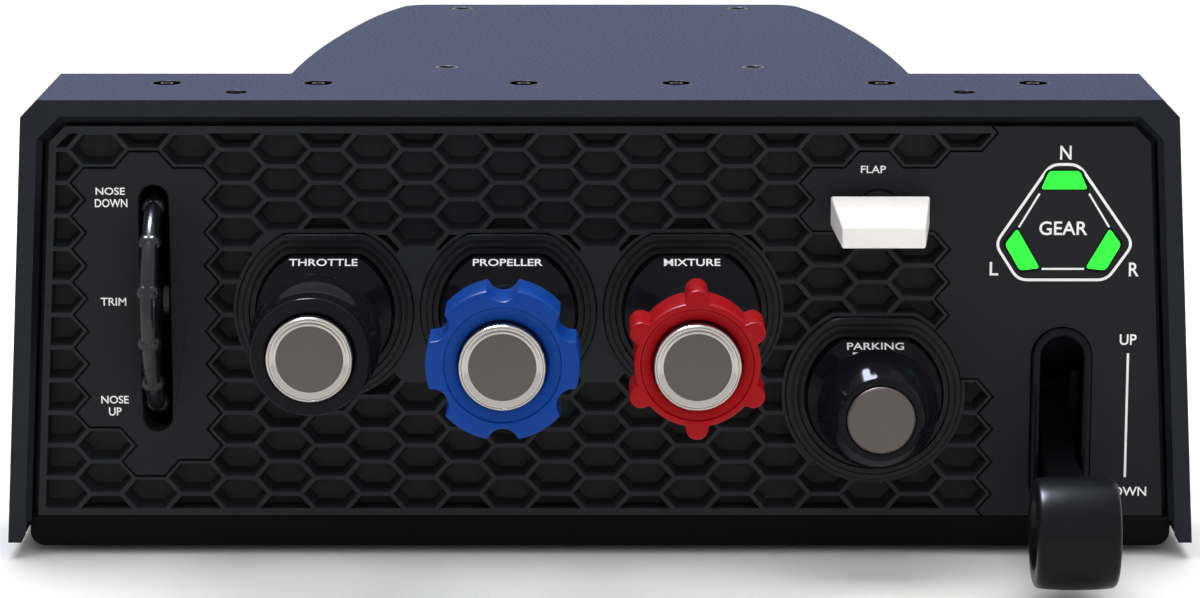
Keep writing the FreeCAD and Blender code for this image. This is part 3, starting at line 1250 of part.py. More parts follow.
def make_lamps():
    """Three lenses and the board that carries their LEDs."""
    y = value(PLATE_FRONT) - size("lamp_proud")
    for label, angle in LAMPS.items():
        feature(label, lamp_shape(angle, 0.0, y, size("lamp_depth")))
    lens_back = f"({PLATE_FRONT} - sizes.lamp_proud + sizes.lamp_depth)"
    board_front = f"({PANEL_BACK} + sizes.fit)"
    parts = [cylinder("led_board_disc", "sizes.led_board_radius", "sizes.board_thick",
                      (LAMP_X, board_front, "sizes.lamp_z"))]
    for i in range(3):
        angle = f"{120 * i} deg"
        parts.append(box(
            f"led_{i}", f"{LAMP_X} + sizes.lamp_orbit * sin({angle})",
            f"{lens_back} + sizes.fit",
            f"sizes.lamp_z + sizes.lamp_orbit * cos({angle}) - sizes.led_size / 2",
            "sizes.led_size", f"{board_front} - {lens_back} - sizes.fit + sizes.overcut / 2",
            "sizes.led_size"))
    node(fuse("led_board_whole", *parts), "led_board")


# --- flap switch -----------------------------------------------------------

def make_flap():
    """Flap lever and paddle on a spring-centred toggle switch."""
    x, y, z = "sizes.flap_x", "sizes.flap_pivot_y", "sizes.flap_z"
    ball = doc.addObject("Part::Sphere", "flap_ball")
    bind(ball, Radius="sizes.switch_ball")
    put(ball, x, y, z)
    length = "(sizes.flap_pivot_y + (sizes.paddle_back + sizes.paddle_reach) / 2)"
    shaft = cylinder("flap_shaft", "sizes.lever_radius", length, (x, f"{y} - {length}", z))
    node(fuse("flap_lever_whole", ball, shaft), "flap_lever")

    wedge = doc.addObject("Part::Wedge", "flap_paddle_wedge")
    bind(wedge, Xmin="-sizes.paddle_front_width / 2", Xmax="sizes.paddle_front_width / 2",
         X2min="-sizes.paddle_back_width / 2", X2max="sizes.paddle_back_width / 2",
         Ymin="-sizes.paddle_reach", Ymax="-sizes.paddle_back",
         Zmin="sizes.paddle_front_low", Zmax="sizes.paddle_front_high",
         Z2min="sizes.paddle_back_low", Z2max="sizes.paddle_back_high")
    put(wedge, x)
    bore = cylinder("flap_paddle_bore", "sizes.lever_radius + sizes.fit / 2",
                    f"{length} + sizes.fit", (x, f"{y} - {length} - sizes.fit", z))
    node(cut("flap_paddle_cut", wedge, bore), "flap_paddle")

    front = f"({PANEL_BACK} + sizes.flap_nut_thick)"
    case = box("flap_case", x, front, f"{z} - sizes.switch_tall / 2", "sizes.switch_width",
               "sizes.switch_deep", "sizes.switch_tall")
    tube = cylinder("flap_bushing", "sizes.bushing_radius", f"sizes.bushing_front + {front}",
                    (x, "-sizes.bushing_front", z))
    mouth = cylinder("flap_bushing_mouth", "sizes.bushing_bore",
                     f"sizes.bushing_front + {y} - sizes.switch_ball + sizes.overcut",
                     (x, "-sizes.bushing_front - sizes.overcut", z))
    socket = cylinder("flap_ball_socket", "sizes.switch_ball + sizes.play",
                      "3 * sizes.switch_ball", (x, f"{y} - 2 * sizes.switch_ball", z))
    node(cut("flap_switch_cut", fuse("flap_switch_whole", case, tube), mouth, socket),
         "flap_switch_body")
    nut = hexagon("flap_nut_blank", "sizes.flap_nut_radius",
                  "sizes.flap_nut_thick - sizes.fit", (x, f"{PANEL_BACK} + sizes.fit / 2", z))
    thread = cylinder("flap_nut_bore", "sizes.bushing_radius + sizes.fit / 2",
                      "sizes.flap_nut_thick + 2 * sizes.overcut",
                      (x, f"{PANEL_BACK} - sizes.overcut", z))
    node(cut("flap_nut_cut", nut, thread), "flap_switch_nut")


# --- inner frame, electronics and fasteners --------------------------------

def make_inside():
    """Roof rail, barrel bulkhead, sensors, board and socket."""
    rail = box("rail_bar", "0", "sizes.rail_front", f"{ROOF_UNDER} - sizes.rail_height",
               "sizes.rail_width", "sizes.rail_depth", "sizes.rail_height")
    bores = [
        cylinder(f"rail_bore_{i}", "sizes.roof_shank_radius + sizes.fit / 2",
                 "sizes.rail_height + 2 * sizes.overcut",
                 (x, "sizes.roof_screw_y",
                  f"{ROOF_UNDER} - sizes.rail_height - sizes.overcut"), "z")
        for i, x in enumerate(ROOF_SCREWS)
    ]
    node(cut("rail_cut", rail, *bores), "roof_rail")

    width = "(sizes.neck_width - 2 * sizes.wall - 2 * sizes.bulkhead_margin)"
    web = box("bulkhead_web", "0", "sizes.bulkhead_front", TRAY_TOP, width,
              "sizes.bulkhead_thick", f"sizes.bulkhead_high - {TRAY_TOP}")
    foot = box("bulkhead_base", "0",
               "sizes.bulkhead_front + sizes.bulkhead_thick - sizes.bulkhead_foot", TRAY_TOP,
               width, "sizes.bulkhead_foot", "sizes.bulkhead_thick")
    holes = [
        cylinder(f"bulkhead_hole_{i}", "sizes.barrel_radius + sizes.fit / 2",
                 "sizes.bulkhead_thick + 2 * sizes.overcut",
                 (x, "sizes.bulkhead_front - sizes.overcut", z))
        for i, (x, z) in enumerate(CONTROLS.values())
    ]
    node(cut("bulkhead_cut", fuse("bulkhead_whole", web, foot), *holes), "barrel_bulkhead")
    sensors = [
        box(f"sensor_{i}", x, "sizes.bulkhead_front - sizes.sensor_length",
            f"{z} - sizes.barrel_radius - sizes.fit - sizes.sensor_height",
            "sizes.sensor_width", "sizes.sensor_length", "sizes.sensor_height")
        for i, (x, z) in enumerate(CONTROLS.values())
    ]
    node(group("sensor_set", *sensors), "position_sensors")

    board = box("board_plate", "0", "sizes.board_front", "sizes.board_height",
                "sizes.board_width", "sizes.board_back - sizes.board_front",
                "sizes.board_thick")
    chip = box("board_chip", "0", "(sizes.board_front + sizes.board_back) / 2",
               "sizes.board_height + sizes.board_thick / 2", "sizes.chip_size",
               "sizes.chip_size", "sizes.board_thick / 2 + sizes.chip_height")
    node(fuse("board_whole", board, chip), "control_board")

    rear = "sizes.body_depth"
    shell = box("usb_shell", "0", f"{rear} - sizes.usb_length", USB_BOTTOM,
                "sizes.usb_width", "sizes.usb_length", "sizes.usb_height")
    mouth = box("usb_cavity", "0", f"{rear} - sizes.usb_mouth",
                f"{USB_BOTTOM} + sizes.usb_wall", "sizes.usb_width - 2 * sizes.usb_wall",
                "sizes.usb_mouth + sizes.overcut", "sizes.usb_height - 2 * sizes.usb_wall")
    node(cut("usb_cut", shell, mouth), "usb_socket")


def make_fasteners():
    """Screws, desk inserts and feet."""
    node(group("roof_screw_set", *[
        countersunk(f"roof_screw_{i}", "roof", x, "sizes.roof_screw_y")
        for i, x in enumerate(ROOF_SCREWS)]), "cover_screws")
    node(group("small_screw_set", *[
        countersunk(f"small_screw_{i}", "small", f"{sx}sizes.lug_x", "sizes.lug_y")
        for i, sx in enumerate(("-", ""))]), "small_cover_screws")
    inserts, screws = [], []
    for i, (x, y, _) in enumerate(POSTS):
        screws.append(fuse(
            f"base_screw_{i}",
            cylinder(f"base_head_{i}", "sizes.base_head_radius", "sizes.base_head_thick",
                     (x, y, "sizes.foot_height - sizes.base_head_thick"), "z"),
            cylinder(f"base_shank_{i}", "sizes.base_screw_radius",
                     "sizes.base_head_thick + sizes.floor_thick + sizes.base_screw_length / 2",
                     (x, y, "sizes.foot_height - sizes.base_head_thick"), "z")))
        if i < 4:
            bottom = "sizes.roof_height - sizes.insert_length"
            inserts.append(cut(
                f"insert_{i}",
                cylinder(f"insert_body_{i}", "sizes.insert_radius", "sizes.insert_length",
                         (x, y, bottom), "z"),
                cylinder(f"insert_thread_{i}", "sizes.insert_bore",
                         "sizes.insert_length + 2 * sizes.overcut",
                         (x, y, f"{bottom} - sizes.overcut"), "z")))
    node(group("base_screw_set", *screws), "base_screws")
    node(group("insert_set", *inserts), "desk_inserts")
    margin = "(2 * sizes.foot_radius + sizes.wall)"
    spots = [
        (f"{sx}({width} / 2 - {margin})", y)
        for sx in ("-", "")
        for width, y in ((TRAY_WIDTH, f"sizes.lip_back + {margin}"),
                         ("sizes.tail_width", f"sizes.waist_depth - {margin}"))
    ]
    node(group("foot_set", *[
        cylinder(f"foot_{i}", "sizes.foot_radius", "sizes.foot_height", (x, y, "0"), "z")
        for i, (x, y) in enumerate(spots)]), "rubber_feet")


def write_nodes():
    """Check every object and write one STEP file for each node."""
    doc.recompute()
    for obj in doc.Objects:
        if {"Invalid", "Error"} & set(obj.State):
            raise RuntimeError(f"{obj.Name} did not build: {obj.State}")
    for obj in NODES:
        if obj.Shape.isNull() or not obj.Shape.isValid():
            raise RuntimeError(f"{obj.Label} has no valid shape")
        for solid in obj.Shape.Solids:
            if solid.Volume <= 0:
                raise RuntimeError(f"{obj.Label} has an empty solid")
    for obj in NODES:
        obj.Shape.exportStep(f"parts/{obj.Label}.step")
    print(f"{len(NODES)} nodes")


make_cover()
make_tray()
make_panel()
make_plates()
make_controls()
make_trim()
make_gear()
make_lamps()
make_flap()
make_inside()
make_fasteners()
write_nodes()
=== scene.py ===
"""Looks of a desk throttle quadrant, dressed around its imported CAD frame.

Every place comes from the frame: the box of a node, or the mesh of a node.
"""

import json
import logging
import math
from collections.abc import Callable, Sequence
from dataclasses import dataclass
from enum import Enum

import bmesh
import bpy
from mathutils import Matrix, Vector


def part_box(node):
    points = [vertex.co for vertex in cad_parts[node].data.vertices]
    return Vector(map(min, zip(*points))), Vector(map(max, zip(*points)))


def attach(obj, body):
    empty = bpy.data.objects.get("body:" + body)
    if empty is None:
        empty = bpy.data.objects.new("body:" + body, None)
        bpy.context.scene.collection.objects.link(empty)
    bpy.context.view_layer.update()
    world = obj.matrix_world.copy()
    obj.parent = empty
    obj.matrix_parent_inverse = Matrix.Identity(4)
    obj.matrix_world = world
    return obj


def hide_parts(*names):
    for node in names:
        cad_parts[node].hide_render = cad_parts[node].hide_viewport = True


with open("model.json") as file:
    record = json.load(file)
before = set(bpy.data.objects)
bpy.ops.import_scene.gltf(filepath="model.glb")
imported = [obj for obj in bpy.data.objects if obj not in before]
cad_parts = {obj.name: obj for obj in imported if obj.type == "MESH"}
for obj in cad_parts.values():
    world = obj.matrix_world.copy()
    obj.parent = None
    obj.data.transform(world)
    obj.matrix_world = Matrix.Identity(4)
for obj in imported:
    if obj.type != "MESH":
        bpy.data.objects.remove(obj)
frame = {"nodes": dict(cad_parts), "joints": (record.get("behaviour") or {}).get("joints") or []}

MM = 0.001
LOG = logging.getLogger("quadrant")
MERGE = 0.002 * MM  # corners closer than this are one
POLE = 0.02 * MM  # smallest radius of a turned face, in place of a point
INK = 0.04 * MM  # thickness of the print
CLOUDS = 30.0  # slow changes of a colour, per metre
Loop = list[Vector]


# --- colours, nodes and finishes -------------------------------------------

def linear(code: str) -> tuple[float, float, float, float]:
    """Turn an sRGB hex colour into linear light.

    Args:
        code: Six hex digits after a hash sign.

    Returns:
        Red, green, blue and alpha.
    """
    parts = [int(code[i:i + 2], 16) / 255 for i in (1, 3, 5)]
    light = [p / 12.92 if p <= 0.04045 else ((p + 0.055) / 1.055) ** 2.4 for p in parts]
    return (*light, 1.0)


def add(tree: bpy.types.NodeTree, kind: str, inputs: dict | None = None,
        **settings: object) -> bpy.types.Node:
    """Add a node, set it up and link it.

    Args:
        tree: Tree that gets the node.
        kind: Type name of the node.
        inputs: Socket name or number to a value, or to the socket that feeds it.
        settings: Properties of the node.

    Returns:
        The new node.
    """
    node = tree.nodes.new(kind)
    for key, setting in settings.items():
        setattr(node, key, setting)
    for key, given in (inputs or {}).items():
        if isinstance(given, bpy.types.NodeSocket):
            tree.links.new(given, node.inputs[key])
        else:
            node.inputs[key].default_value = given
    return node


def empty_tree(owner: bpy.types.ID) -> bpy.types.NodeTree:
    """Node tree of a material or a world, with nothing in it."""
    owner.use_nodes = True
    owner.node_tree.nodes.clear()
    return owner.node_tree


class Making(Enum):
    """How a surface was made, which decides its pattern."""

    MOULDED = "spark-eroded mould grain"
    POLISHED = "polished mould, with the faint waves of shrinkage"
    COATED = "powder coat, with its orange peel"
    TURNED = "turned on a lathe, rings around the axis"
    BRUSHED = "brushed along one direction"


@dataclass(frozen=True)
class Finish:
    """One surface finish as a procedural material.

    Attributes:
        name: Material name, what the surface is.
        making: How it was made.
        colour: sRGB hex colour.
        roughness: Middle roughness.
        pitch: Real distance between two marks of the pattern, in metres.
        relief: Height of those marks, in metres.
        spread: How much the roughness varies.
        mottle: How much the colour varies.
        metallic: 1 for a bare metal.
        sheen: Specular level of a plastic.
        coat: Strength of a clear layer.
        glow: Strength of its own light.
        glint: sRGB hex tint of its reflections.
    """

    name: str
    making: Making
    colour: str
    roughness: float
    pitch: float
    relief: float
    spread: float = 0.06
    mottle: float = 0.12
    metallic: float = 0.0
    sheen: float = 0.2
    coat: float = 0.0
    glow: float = 0.0
    glint: str = "#ffffff"

    def pattern(self, tree: bpy.types.NodeTree) -> bpy.types.NodeSocket:
        """Height pattern of the surface, from 0 to 1."""
        scale = 1 / self.pitch
        if self.making is Making.TURNED:
            place = add(tree, "ShaderNodeUVMap", uv_map="turning").outputs["UV"]
            stretch = (0.02, 1.0, 1.0)
        else:
            place = add(tree, "ShaderNodeTexCoord").outputs["Object"]
            stretch = (0.03, 1.0, 1.0) if self.making is Making.BRUSHED else (1.0, 1.0, 1.0)
        mapped = add(tree, "ShaderNodeMapping", {"Vector": place, "Scale": stretch})
        detail = {Making.POLISHED: 0.0, Making.COATED: 0.5}.get(self.making, 2.0)
        noise = add(tree, "ShaderNodeTexNoise", {
            "Vector": mapped.outputs["Vector"], "Scale": scale, "Detail": detail,
            "Roughness": 0.55})
        return noise.outputs["Fac"]

    def build(self) -> bpy.types.Material:
        """Make the material, once, and return it."""
        known = bpy.data.materials.get(self.name)
        if known:
            return known
        material = bpy.data.materials.new(self.name)
        tree = empty_tree(material)
        height = self.pattern(tree)
        place = add(tree, "ShaderNodeTexCoord").outputs["Object"]
        broad = add(tree, "ShaderNodeTexNoise", {"Vector": place, "Scale": CLOUDS, "Detail": 3.0})
        base = linear(self.colour)
        dark = (*[c * (1 - self.mottle) for c in base[:3]], 1.0)
        light = (*[min(1.0, c * (1 + self.mottle)) for c in base[:3]], 1.0)
        shade = add(tree, "ShaderNodeMix", data_type="RGBA")
        colours = [socket for socket in shade.inputs if socket.type == "RGBA"]
        colours[0].default_value, colours[1].default_value = dark, light
        tree.links.new(broad.outputs["Fac"], shade.inputs[0])
        shade_out = next(socket for socket in shade.outputs if socket.type == "RGBA")
        rough = add(tree, "ShaderNodeMapRange", {
            "Value": height, "From Min": 0.3, "From Max": 0.7,
            "To Min": self.roughness - self.spread, "To Max": self.roughness + self.spread})
        bump = add(tree, "ShaderNodeBump", {
            "Height": height, "Strength": 1.0, "Distance": self.relief})
        shader = add(tree, "ShaderNodeBsdfPrincipled", {
            "Base Color": shade_out, "Roughness": rough.outputs["Result"],
            "Normal": bump.outputs["Normal"], "Metallic": self.metallic,
            "Specular IOR Level": self.sheen, "Specular Tint": linear(self.glint),
            "Coat Weight": self.coat, "Coat Roughness": 0.06})
        if self.glow:
            shader.inputs["Emission Color"].default_value = base
            shader.inputs["Emission Strength"].default_value = self.glow
        add(tree, "ShaderNodeOutputMaterial", {"Surface": shader.outputs["BSDF"]})
        return material


# Steel sheet under a black lacquer, black from the front, with a faint orange peel of 0.9 mm
# waves.
# Its slate blue along the surface is a painted reflection: the glint tints its metallic
# reflections blue in place of bluish light from above.
COVER_PAINT = Finish("metallic_lacquer", Making.COATED, "#28292e", 0.42,
                     0.9 * MM, 0.006 * MM, mottle=0.04, metallic=0.9, glint="#bcc6ea")
# ABS from a spark-eroded mould: a dull black grain. The real grain of about 0.1 mm is too
# fine to show, so it is drawn at 0.35 mm.
PANEL_ABS = Finish("spark_eroded_abs", Making.MOULDED, "#262729", 0.52,
                   0.35 * MM, 0.015 * MM, mottle=0.05, sheen=0.1)
PLATE_ABS = Finish("fine_grained_abs", Making.MOULDED, "#201f22", 0.5,
                   0.3 * MM, 0.01 * MM, mottle=0.04, sheen=0.1)
TRAY_ABS = Finish("tray_abs", Making.MOULDED, "#0b0b0d", 0.55,
                  0.4 * MM, 0.015 * MM, mottle=0.05, sheen=0.06)
# Polished black ABS: deep black, sharp reflections, slow waves where it shrank.
GLOSS_ABS = Finish("polished_black_abs", Making.POLISHED, "#121217", 0.1,
                   6 * MM, 0.004 * MM, spread=0.02, mottle=0.05, sheen=0.07)
# Black ABS from a finely blasted mould: a satin skin with broad soft highlights.
SATIN_ABS = Finish("satin_lever_abs", Making.MOULDED, "#0c0c0f", 0.3,
                   0.3 * MM, 0.002 * MM, spread=0.03, mottle=0.05, sheen=0.12)
# The trim wheel is the same ABS, polished by fingers.
WHEEL_ABS = Finish("handled_wheel_abs", Making.MOULDED, "#111115", 0.26,
                   0.3 * MM, 0.001 * MM, spread=0.03, mottle=0.05, sheen=0.4)
# Ring mouldings: black ABS with a satin polish.
RING_ABS = Finish("satin_black_abs", Making.MOULDED, "#17181a", 0.34,
                  0.3 * MM, 0.003 * MM, spread=0.04, mottle=0.05, sheen=0.14)
# Through-coloured ABS knobs with a satin skin.
BLUE_ABS = Finish("blue_abs", Making.MOULDED, "#003a8c", 0.34,
                  0.4 * MM, 0.005 * MM, spread=0.05, mottle=0.08, sheen=0.14)
RED_ABS = Finish("red_abs", Making.MOULDED, "#960109", 0.34,
                 0.4 * MM, 0.005 * MM, spread=0.05, mottle=0.08, sheen=0.14)
WHITE_ABS = Finish("white_abs", Making.MOULDED, "#efedea", 0.35,
                   0.4 * MM, 0.001 * MM, spread=0.02, mottle=0.01, sheen=0.4)
# Bare aluminium off the lathe: fine rings and a bright grey.
TURNED_ALUMINIUM = Finish("turned_aluminium", Making.TURNED, "#b4b0aa", 0.2,
                          0.25 * MM, 0.002 * MM, spread=0.05, mottle=0.04, metallic=1.0)
# Aluminium blasted with fine beads: a dull warm grey.
BLASTED_ALUMINIUM = Finish("blasted_aluminium", Making.MOULDED, "#5b5652", 0.42,
                           0.22 * MM, 0.004 * MM, spread=0.05, mottle=0.04, metallic=1.0)
# Ground silver steel bar: its marks run round it, drawn wider than real ones.
GROUND_STEEL = Finish("ground_steel", Making.BRUSHED, "#b9babb", 0.24,
                      0.3 * MM, 0.002 * MM, metallic=1.0, mottle=0.05)
# Screws and bushes with a black oxide skin over steel.
BLACK_STEEL = Finish("black_oxide_steel", Making.MOULDED, "#2a2c31", 0.36,
                     0.3 * MM, 0.003 * MM, metallic=0.85, mottle=0.12)
INNER_ABS = Finish("plain_grey_abs", Making.MOULDED, "#17181a", 0.55, 0.4 * MM, 0.015 * MM)
BOARD = Finish("solder_mask", Making.COATED, "#12472a", 0.3, 1.2 * MM, 0.01 * MM, coat=0.3)
RUBBER = Finish("foot_rubber", Making.MOULDED, "#121213", 0.75, 0.3 * MM, 0.03 * MM, sheen=0.1)
# Screen printing ink: white, thin and a little chalky.
WHITE_INK = Finish("white_ink", Making.MOULDED, "#f2f3f3", 0.6, 0.25 * MM, 0.001 * MM,
                   mottle=0.02)
# Acrylic lens over a lit green LED.
GREEN_LENS = Finish("lit_green_acrylic", Making.POLISHED, "#2cf338", 0.2,
                    3 * MM, 0.001 * MM, mottle=0.1, sheen=0.1, glow=0.8)

NODE_FINISHES: dict[Finish, tuple[str, ...]] = {
    COVER_PAINT: ("top_cover",),
    TRAY_ABS: ("base_tray",),
    PANEL_ABS: ("front_panel",),
    PLATE_ABS: ("trim_plate", "switch_plate"),
    RING_ABS: ("throttle_ring", "propeller_ring", "mixture_ring", "parking_ring"),
    GLOSS_ABS: ("throttle_collar", "propeller_collar", "mixture_collar", "parking_collar",
                "gear_slot_rim", "throttle_knob", "parking_knob"),
    SATIN_ABS: ("gear_arm", "gear_wheel"),
    WHEEL_ABS: ("trim_wheel",),
    BLUE_ABS: ("propeller_knob",),
    RED_ABS: ("mixture_knob",),
    WHITE_ABS: ("flap_paddle",),
    BLASTED_ALUMINIUM: ("throttle_button", "propeller_button", "mixture_button",
                        "parking_cap"),
    GROUND_STEEL: ("throttle_rod", "propeller_rod", "mixture_rod", "parking_rod",
                   "trim_axle", "gear_pivot_pin", "flap_lever", "collar_nuts",
                   "flap_switch_nut", "roof_rail"),
    BLACK_STEEL: ("throttle_barrel", "propeller_barrel", "mixture_barrel",
                  "parking_barrel", "cover_screws", "small_cover_screws", "base_screws",
                  "desk_inserts"),
    INNER_ABS: ("barrel_bulkhead", "trim_bracket", "gear_bracket", "trim_encoder",
                "gear_switches", "position_sensors", "flap_switch_body", "usb_socket"),
    BOARD: ("control_board", "led_board"),
    GREEN_LENS: ("nose_lens", "left_lens", "right_lens"),
    RUBBER: ("rubber_feet",),
}


# --- mesh helpers -----------------------------------------------------------

def new_object(name: str, data: bpy.types.ID) -> bpy.types.Object:
    """New object at the origin, linked to the scene."""
    made = bpy.data.objects.new(name, data)
    bpy.context.scene.collection.objects.link(made)
    return made


def add_object(name: str, mesh: bpy.types.Mesh, finish: Finish) -> bpy.types.Object:
    """Link a mesh as a piece at the origin, with its finish."""
    piece = new_object(name, mesh)
    mesh.materials.clear()
    mesh.materials.append(finish.build())
    return piece


def evaluated_mesh(holder: bpy.types.Object) -> bpy.types.Mesh:
    """Mesh of an object with all it does applied; the object is removed."""
    bpy.context.view_layer.update()
    evaluated = holder.evaluated_get(bpy.context.evaluated_depsgraph_get())
    mesh = bpy.data.meshes.new_from_object(evaluated)
    bpy.data.objects.remove(holder)
    return mesh


def from_bmesh(name: str, shape: bmesh.types.BMesh, finish: Finish,
               crease: float = 35.0) -> bpy.types.Object:
    """Turn a bmesh into a piece with smooth shading up to a crease angle.

    Args:
        name: Name of the piece.
        shape: The bmesh, which is freed.
        finish: Its finish.
        crease: Edges sharper than this many degrees stay sharp.

    Returns:
        The new piece.
    """
    for face in shape.faces:
        face.smooth = True
    limit = math.radians(crease)
    for edge in shape.edges:
        edge.smooth = len(edge.link_faces) == 2 and edge.calc_face_angle(math.pi) < limit
    mesh = bpy.data.meshes.new(name)
    shape.to_mesh(mesh)
    shape.free()
    return add_object(name, mesh, finish)


def solid_of_loops(name: str, loops: Sequence[Loop], finish: Finish,
                   crease: float = 35.0, hollow: bool = False) -> bpy.types.Object:
    """Skin a stack of closed loops that have the same number of points.

    Args:
        name: Name of the piece.
        loops: The loops, in order along the piece's skin.
        finish: Its finish.
        crease: Edges sharper than this many degrees stay sharp.
        hollow: Whether the last loop joins the first, as on a ring.

    Returns:
        The closed piece, with a map named turning: turns across, metres up.
    """
    if hollow:
        loops = [*loops, loops[0]]
    shape = bmesh.new()
    uv = shape.loops.layers.uv.new("turning")
    rows = [[shape.verts.new(p) for p in loop] for loop in loops]
    if hollow:
        for vertex in rows.pop():
            shape.verts.remove(vertex)
        rows.append(rows[0])
    count = len(rows[0])
    climb = [0.0]
    for low, high in zip(loops, loops[1:]):
        climb.append(climb[-1] + (high[0] - low[0]).length)
    for k, (low, high) in enumerate(zip(rows, rows[1:])):
        for i in range(count):
            j = (i + 1) % count
            face = shape.faces.new((low[i], low[j], high[j], high[i]))
            marks = ((i, climb[k]), (i + 1, climb[k]), (i + 1, climb[k + 1]), (i, climb[k + 1]))
            for corner, (turn, rise) in zip(face.loops, marks):
                corner[uv].uv = (turn / count, rise)
    if not hollow:
        shape.faces.new(rows[0][::-1])
        shape.faces.new(rows[-1])
    bmesh.ops.recalc_face_normals(shape, faces=shape.faces)
    return from_bmesh(name, shape, finish, crease)


def rounded(profile: Sequence[tuple[float, float, float]], steps: int = 4) -> list[Vector]:
    """Round the corners of an open profile.

    Args:
        profile: Radius, distance along the axis and rounding of each corner.
        steps: Segments of one rounding.

    Returns:
        Points of the smooth profile, as (radius, distance).
    """
    points = [Vector((r, d)) for r, d, _ in profile]
    result = [points[0]]
    for i in range(1, len(points) - 1):
        before, here, after = points[i - 1], points[i], points[i + 1]
        radius = profile[i][2]
        back, ahead = before - here, after - here
        reach = min(radius, 0.49 * back.length, 0.49 * ahead.length)
        if reach <= 0:
            result.append(here)
            continue
        start, end = here + back.normalized() * reach, here + ahead.normalized() * reach
        for k in range(steps + 1):
            t = k / steps
            result.append(start * (1 - t) ** 2 + here * 2 * t * (1 - t) + end * t ** 2)
    return result + [points[-1]]


def lathe(name: str, profile: Sequence[tuple[float, float, float]], centre: Vector,
          finish: Finish, axis: str = "y", segments: int = 96) -> bpy.types.Object:
    """Turn a rounded profile about an axis through a point.

    Args:
        name: Name of the piece.
        profile: Radius, distance along the axis and rounding of each corner.
        centre: Point on the axis where the distance is nought.
        finish: Its finish.
        axis: The axis, x or y.
        segments: Points of one turn.

    Returns:
        The closed piece.
    """
    loops = []
    for radius, distance in rounded(profile):
        ring = []
        for i in range(segments):
            angle = math.tau * i / segments
            across, up = radius * math.cos(angle), radius * math.sin(angle)
            offset = (across, distance, up) if axis == "y" else (distance, across, up)
            ring.append(centre + Vector(offset))
        loops.append(ring)
    return solid_of_loops(name, loops, finish)


def softened(node: str, finish: Finish, width: float, crease: float = 30.0,
             steps: int = 2, top: float | None = None) -> bpy.types.Object:
    """Copy a node's mesh, merge it and round its edges.

    Args:
        node: The CAD node that the piece stands for.
        finish: Finish of the piece.
        width: Width of the rounded edges.
        crease: Edges sharper than this many degrees are rounded.
        steps: Segments across an edge.
        top: Height above which the copy is cut away and closed.

    Returns:
        The piece, which replaces the node.
    """
    shape = bmesh.new()
    shape.from_mesh(frame["nodes"][node].data)
    bmesh.ops.remove_doubles(shape, verts=shape.verts, dist=MERGE)
    if top is not None:
        found = bmesh.ops.bisect_plane(
            shape, geom=[*shape.verts, *shape.edges, *shape.faces], plane_co=(0, 0, top),
            plane_no=(0, 0, 1), clear_outer=True)["geom_cut"]
        rim = [part for part in found if isinstance(part, bmesh.types.BMEdge)]
        bmesh.ops.holes_fill(shape, edges=rim, sides=0)
    bmesh.ops.dissolve_limit(shape, angle_limit=math.radians(0.5), verts=shape.verts,
                             edges=shape.edges, delimit={"NORMAL"})
    piece = from_bmesh(f"{node}_look", shape, finish, crease)
    bevel = piece.modifiers.new("rounded_edges", "BEVEL")
    bevel.width = width
    bevel.segments = steps
    bevel.limit_method = "ANGLE"
    bevel.angle_limit = math.radians(crease)
    bevel.harden_normals = True
    bevel.use_clamp_overlap = True
    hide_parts(node)
    return piece


def mount(piece: bpy.types.Object, body: str) -> bpy.types.Object:
    """Let a piece ride on a body, and log it."""
    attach(piece, body)
    LOG.info("%s rides on %s", piece.name, body)
    return piece


def dress(piece: bpy.types.Object, node: str, body: str) -> None:
    """Let a piece stand for a node and mount it."""
    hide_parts(node)
    mount(piece, body)


def printed(ink: bpy.types.Object) -> None:
    """Mount white ink on the housing."""
    mount(ink, "housing")


def ribbon(name: str, points: Sequence[tuple[float, float]], width: float, y: float,
           closed: bool, lift: float = INK) -> bpy.types.Object:
    """Printed line of ink on an upright face.

    Args:
        name: Name of the piece.
        points: Corners of the line, as (x, z).
        width: Width of the line.
        y: Face that carries the ink.
        closed: Whether the line returns to its start.
        lift: Thickness of the ink.

    Returns:
        A thin solid strip.
    """
    count = len(points)
    shape = bmesh.new()
    sides: list[tuple[Vector, Vector]] = []
    for i in range(count):
        here = Vector(points[i])
        before = Vector(points[i - 1]) if closed or i else here
        after = Vector(points[(i + 1) % count]) if closed or i < count - 1 else here
        incoming = (here - before).normalized() if before != here else None
        outgoing = (after - here).normalized() if after != here else None
        along = ((incoming or outgoing) + (outgoing or incoming)).normalized()
        across = Vector((-along.y, along.x))
        edge = incoming or outgoing
        # A sharp corner would reach far out, so its reach is limited.
        stretch = 1 / max(0.3, across.dot(Vector((-edge.y, edge.x))))
        half = across * width / 2 * stretch
        sides.append((here - half, here + half))
    corners = [[shape.verts.new((p.x, depth, p.y)) for p in pair for depth in (y, y - lift)]
               for pair in sides]
    spans = range(count if closed else count - 1)
    for i in spans:
        one, two = corners[i], corners[(i + 1) % count]
        for a, b in ((0, 1), (1, 3), (3, 2), (2, 0)):
            shape.faces.new((one[a], one[b], two[b], two[a]))
    if not closed:
        for end in (corners[0], corners[-1]):
            shape.faces.new((end[0], end[1], end[3], end[2]))
    bmesh.ops.recalc_face_normals(shape, faces=shape.faces)
    return from_bmesh(name, shape, WHITE_INK)


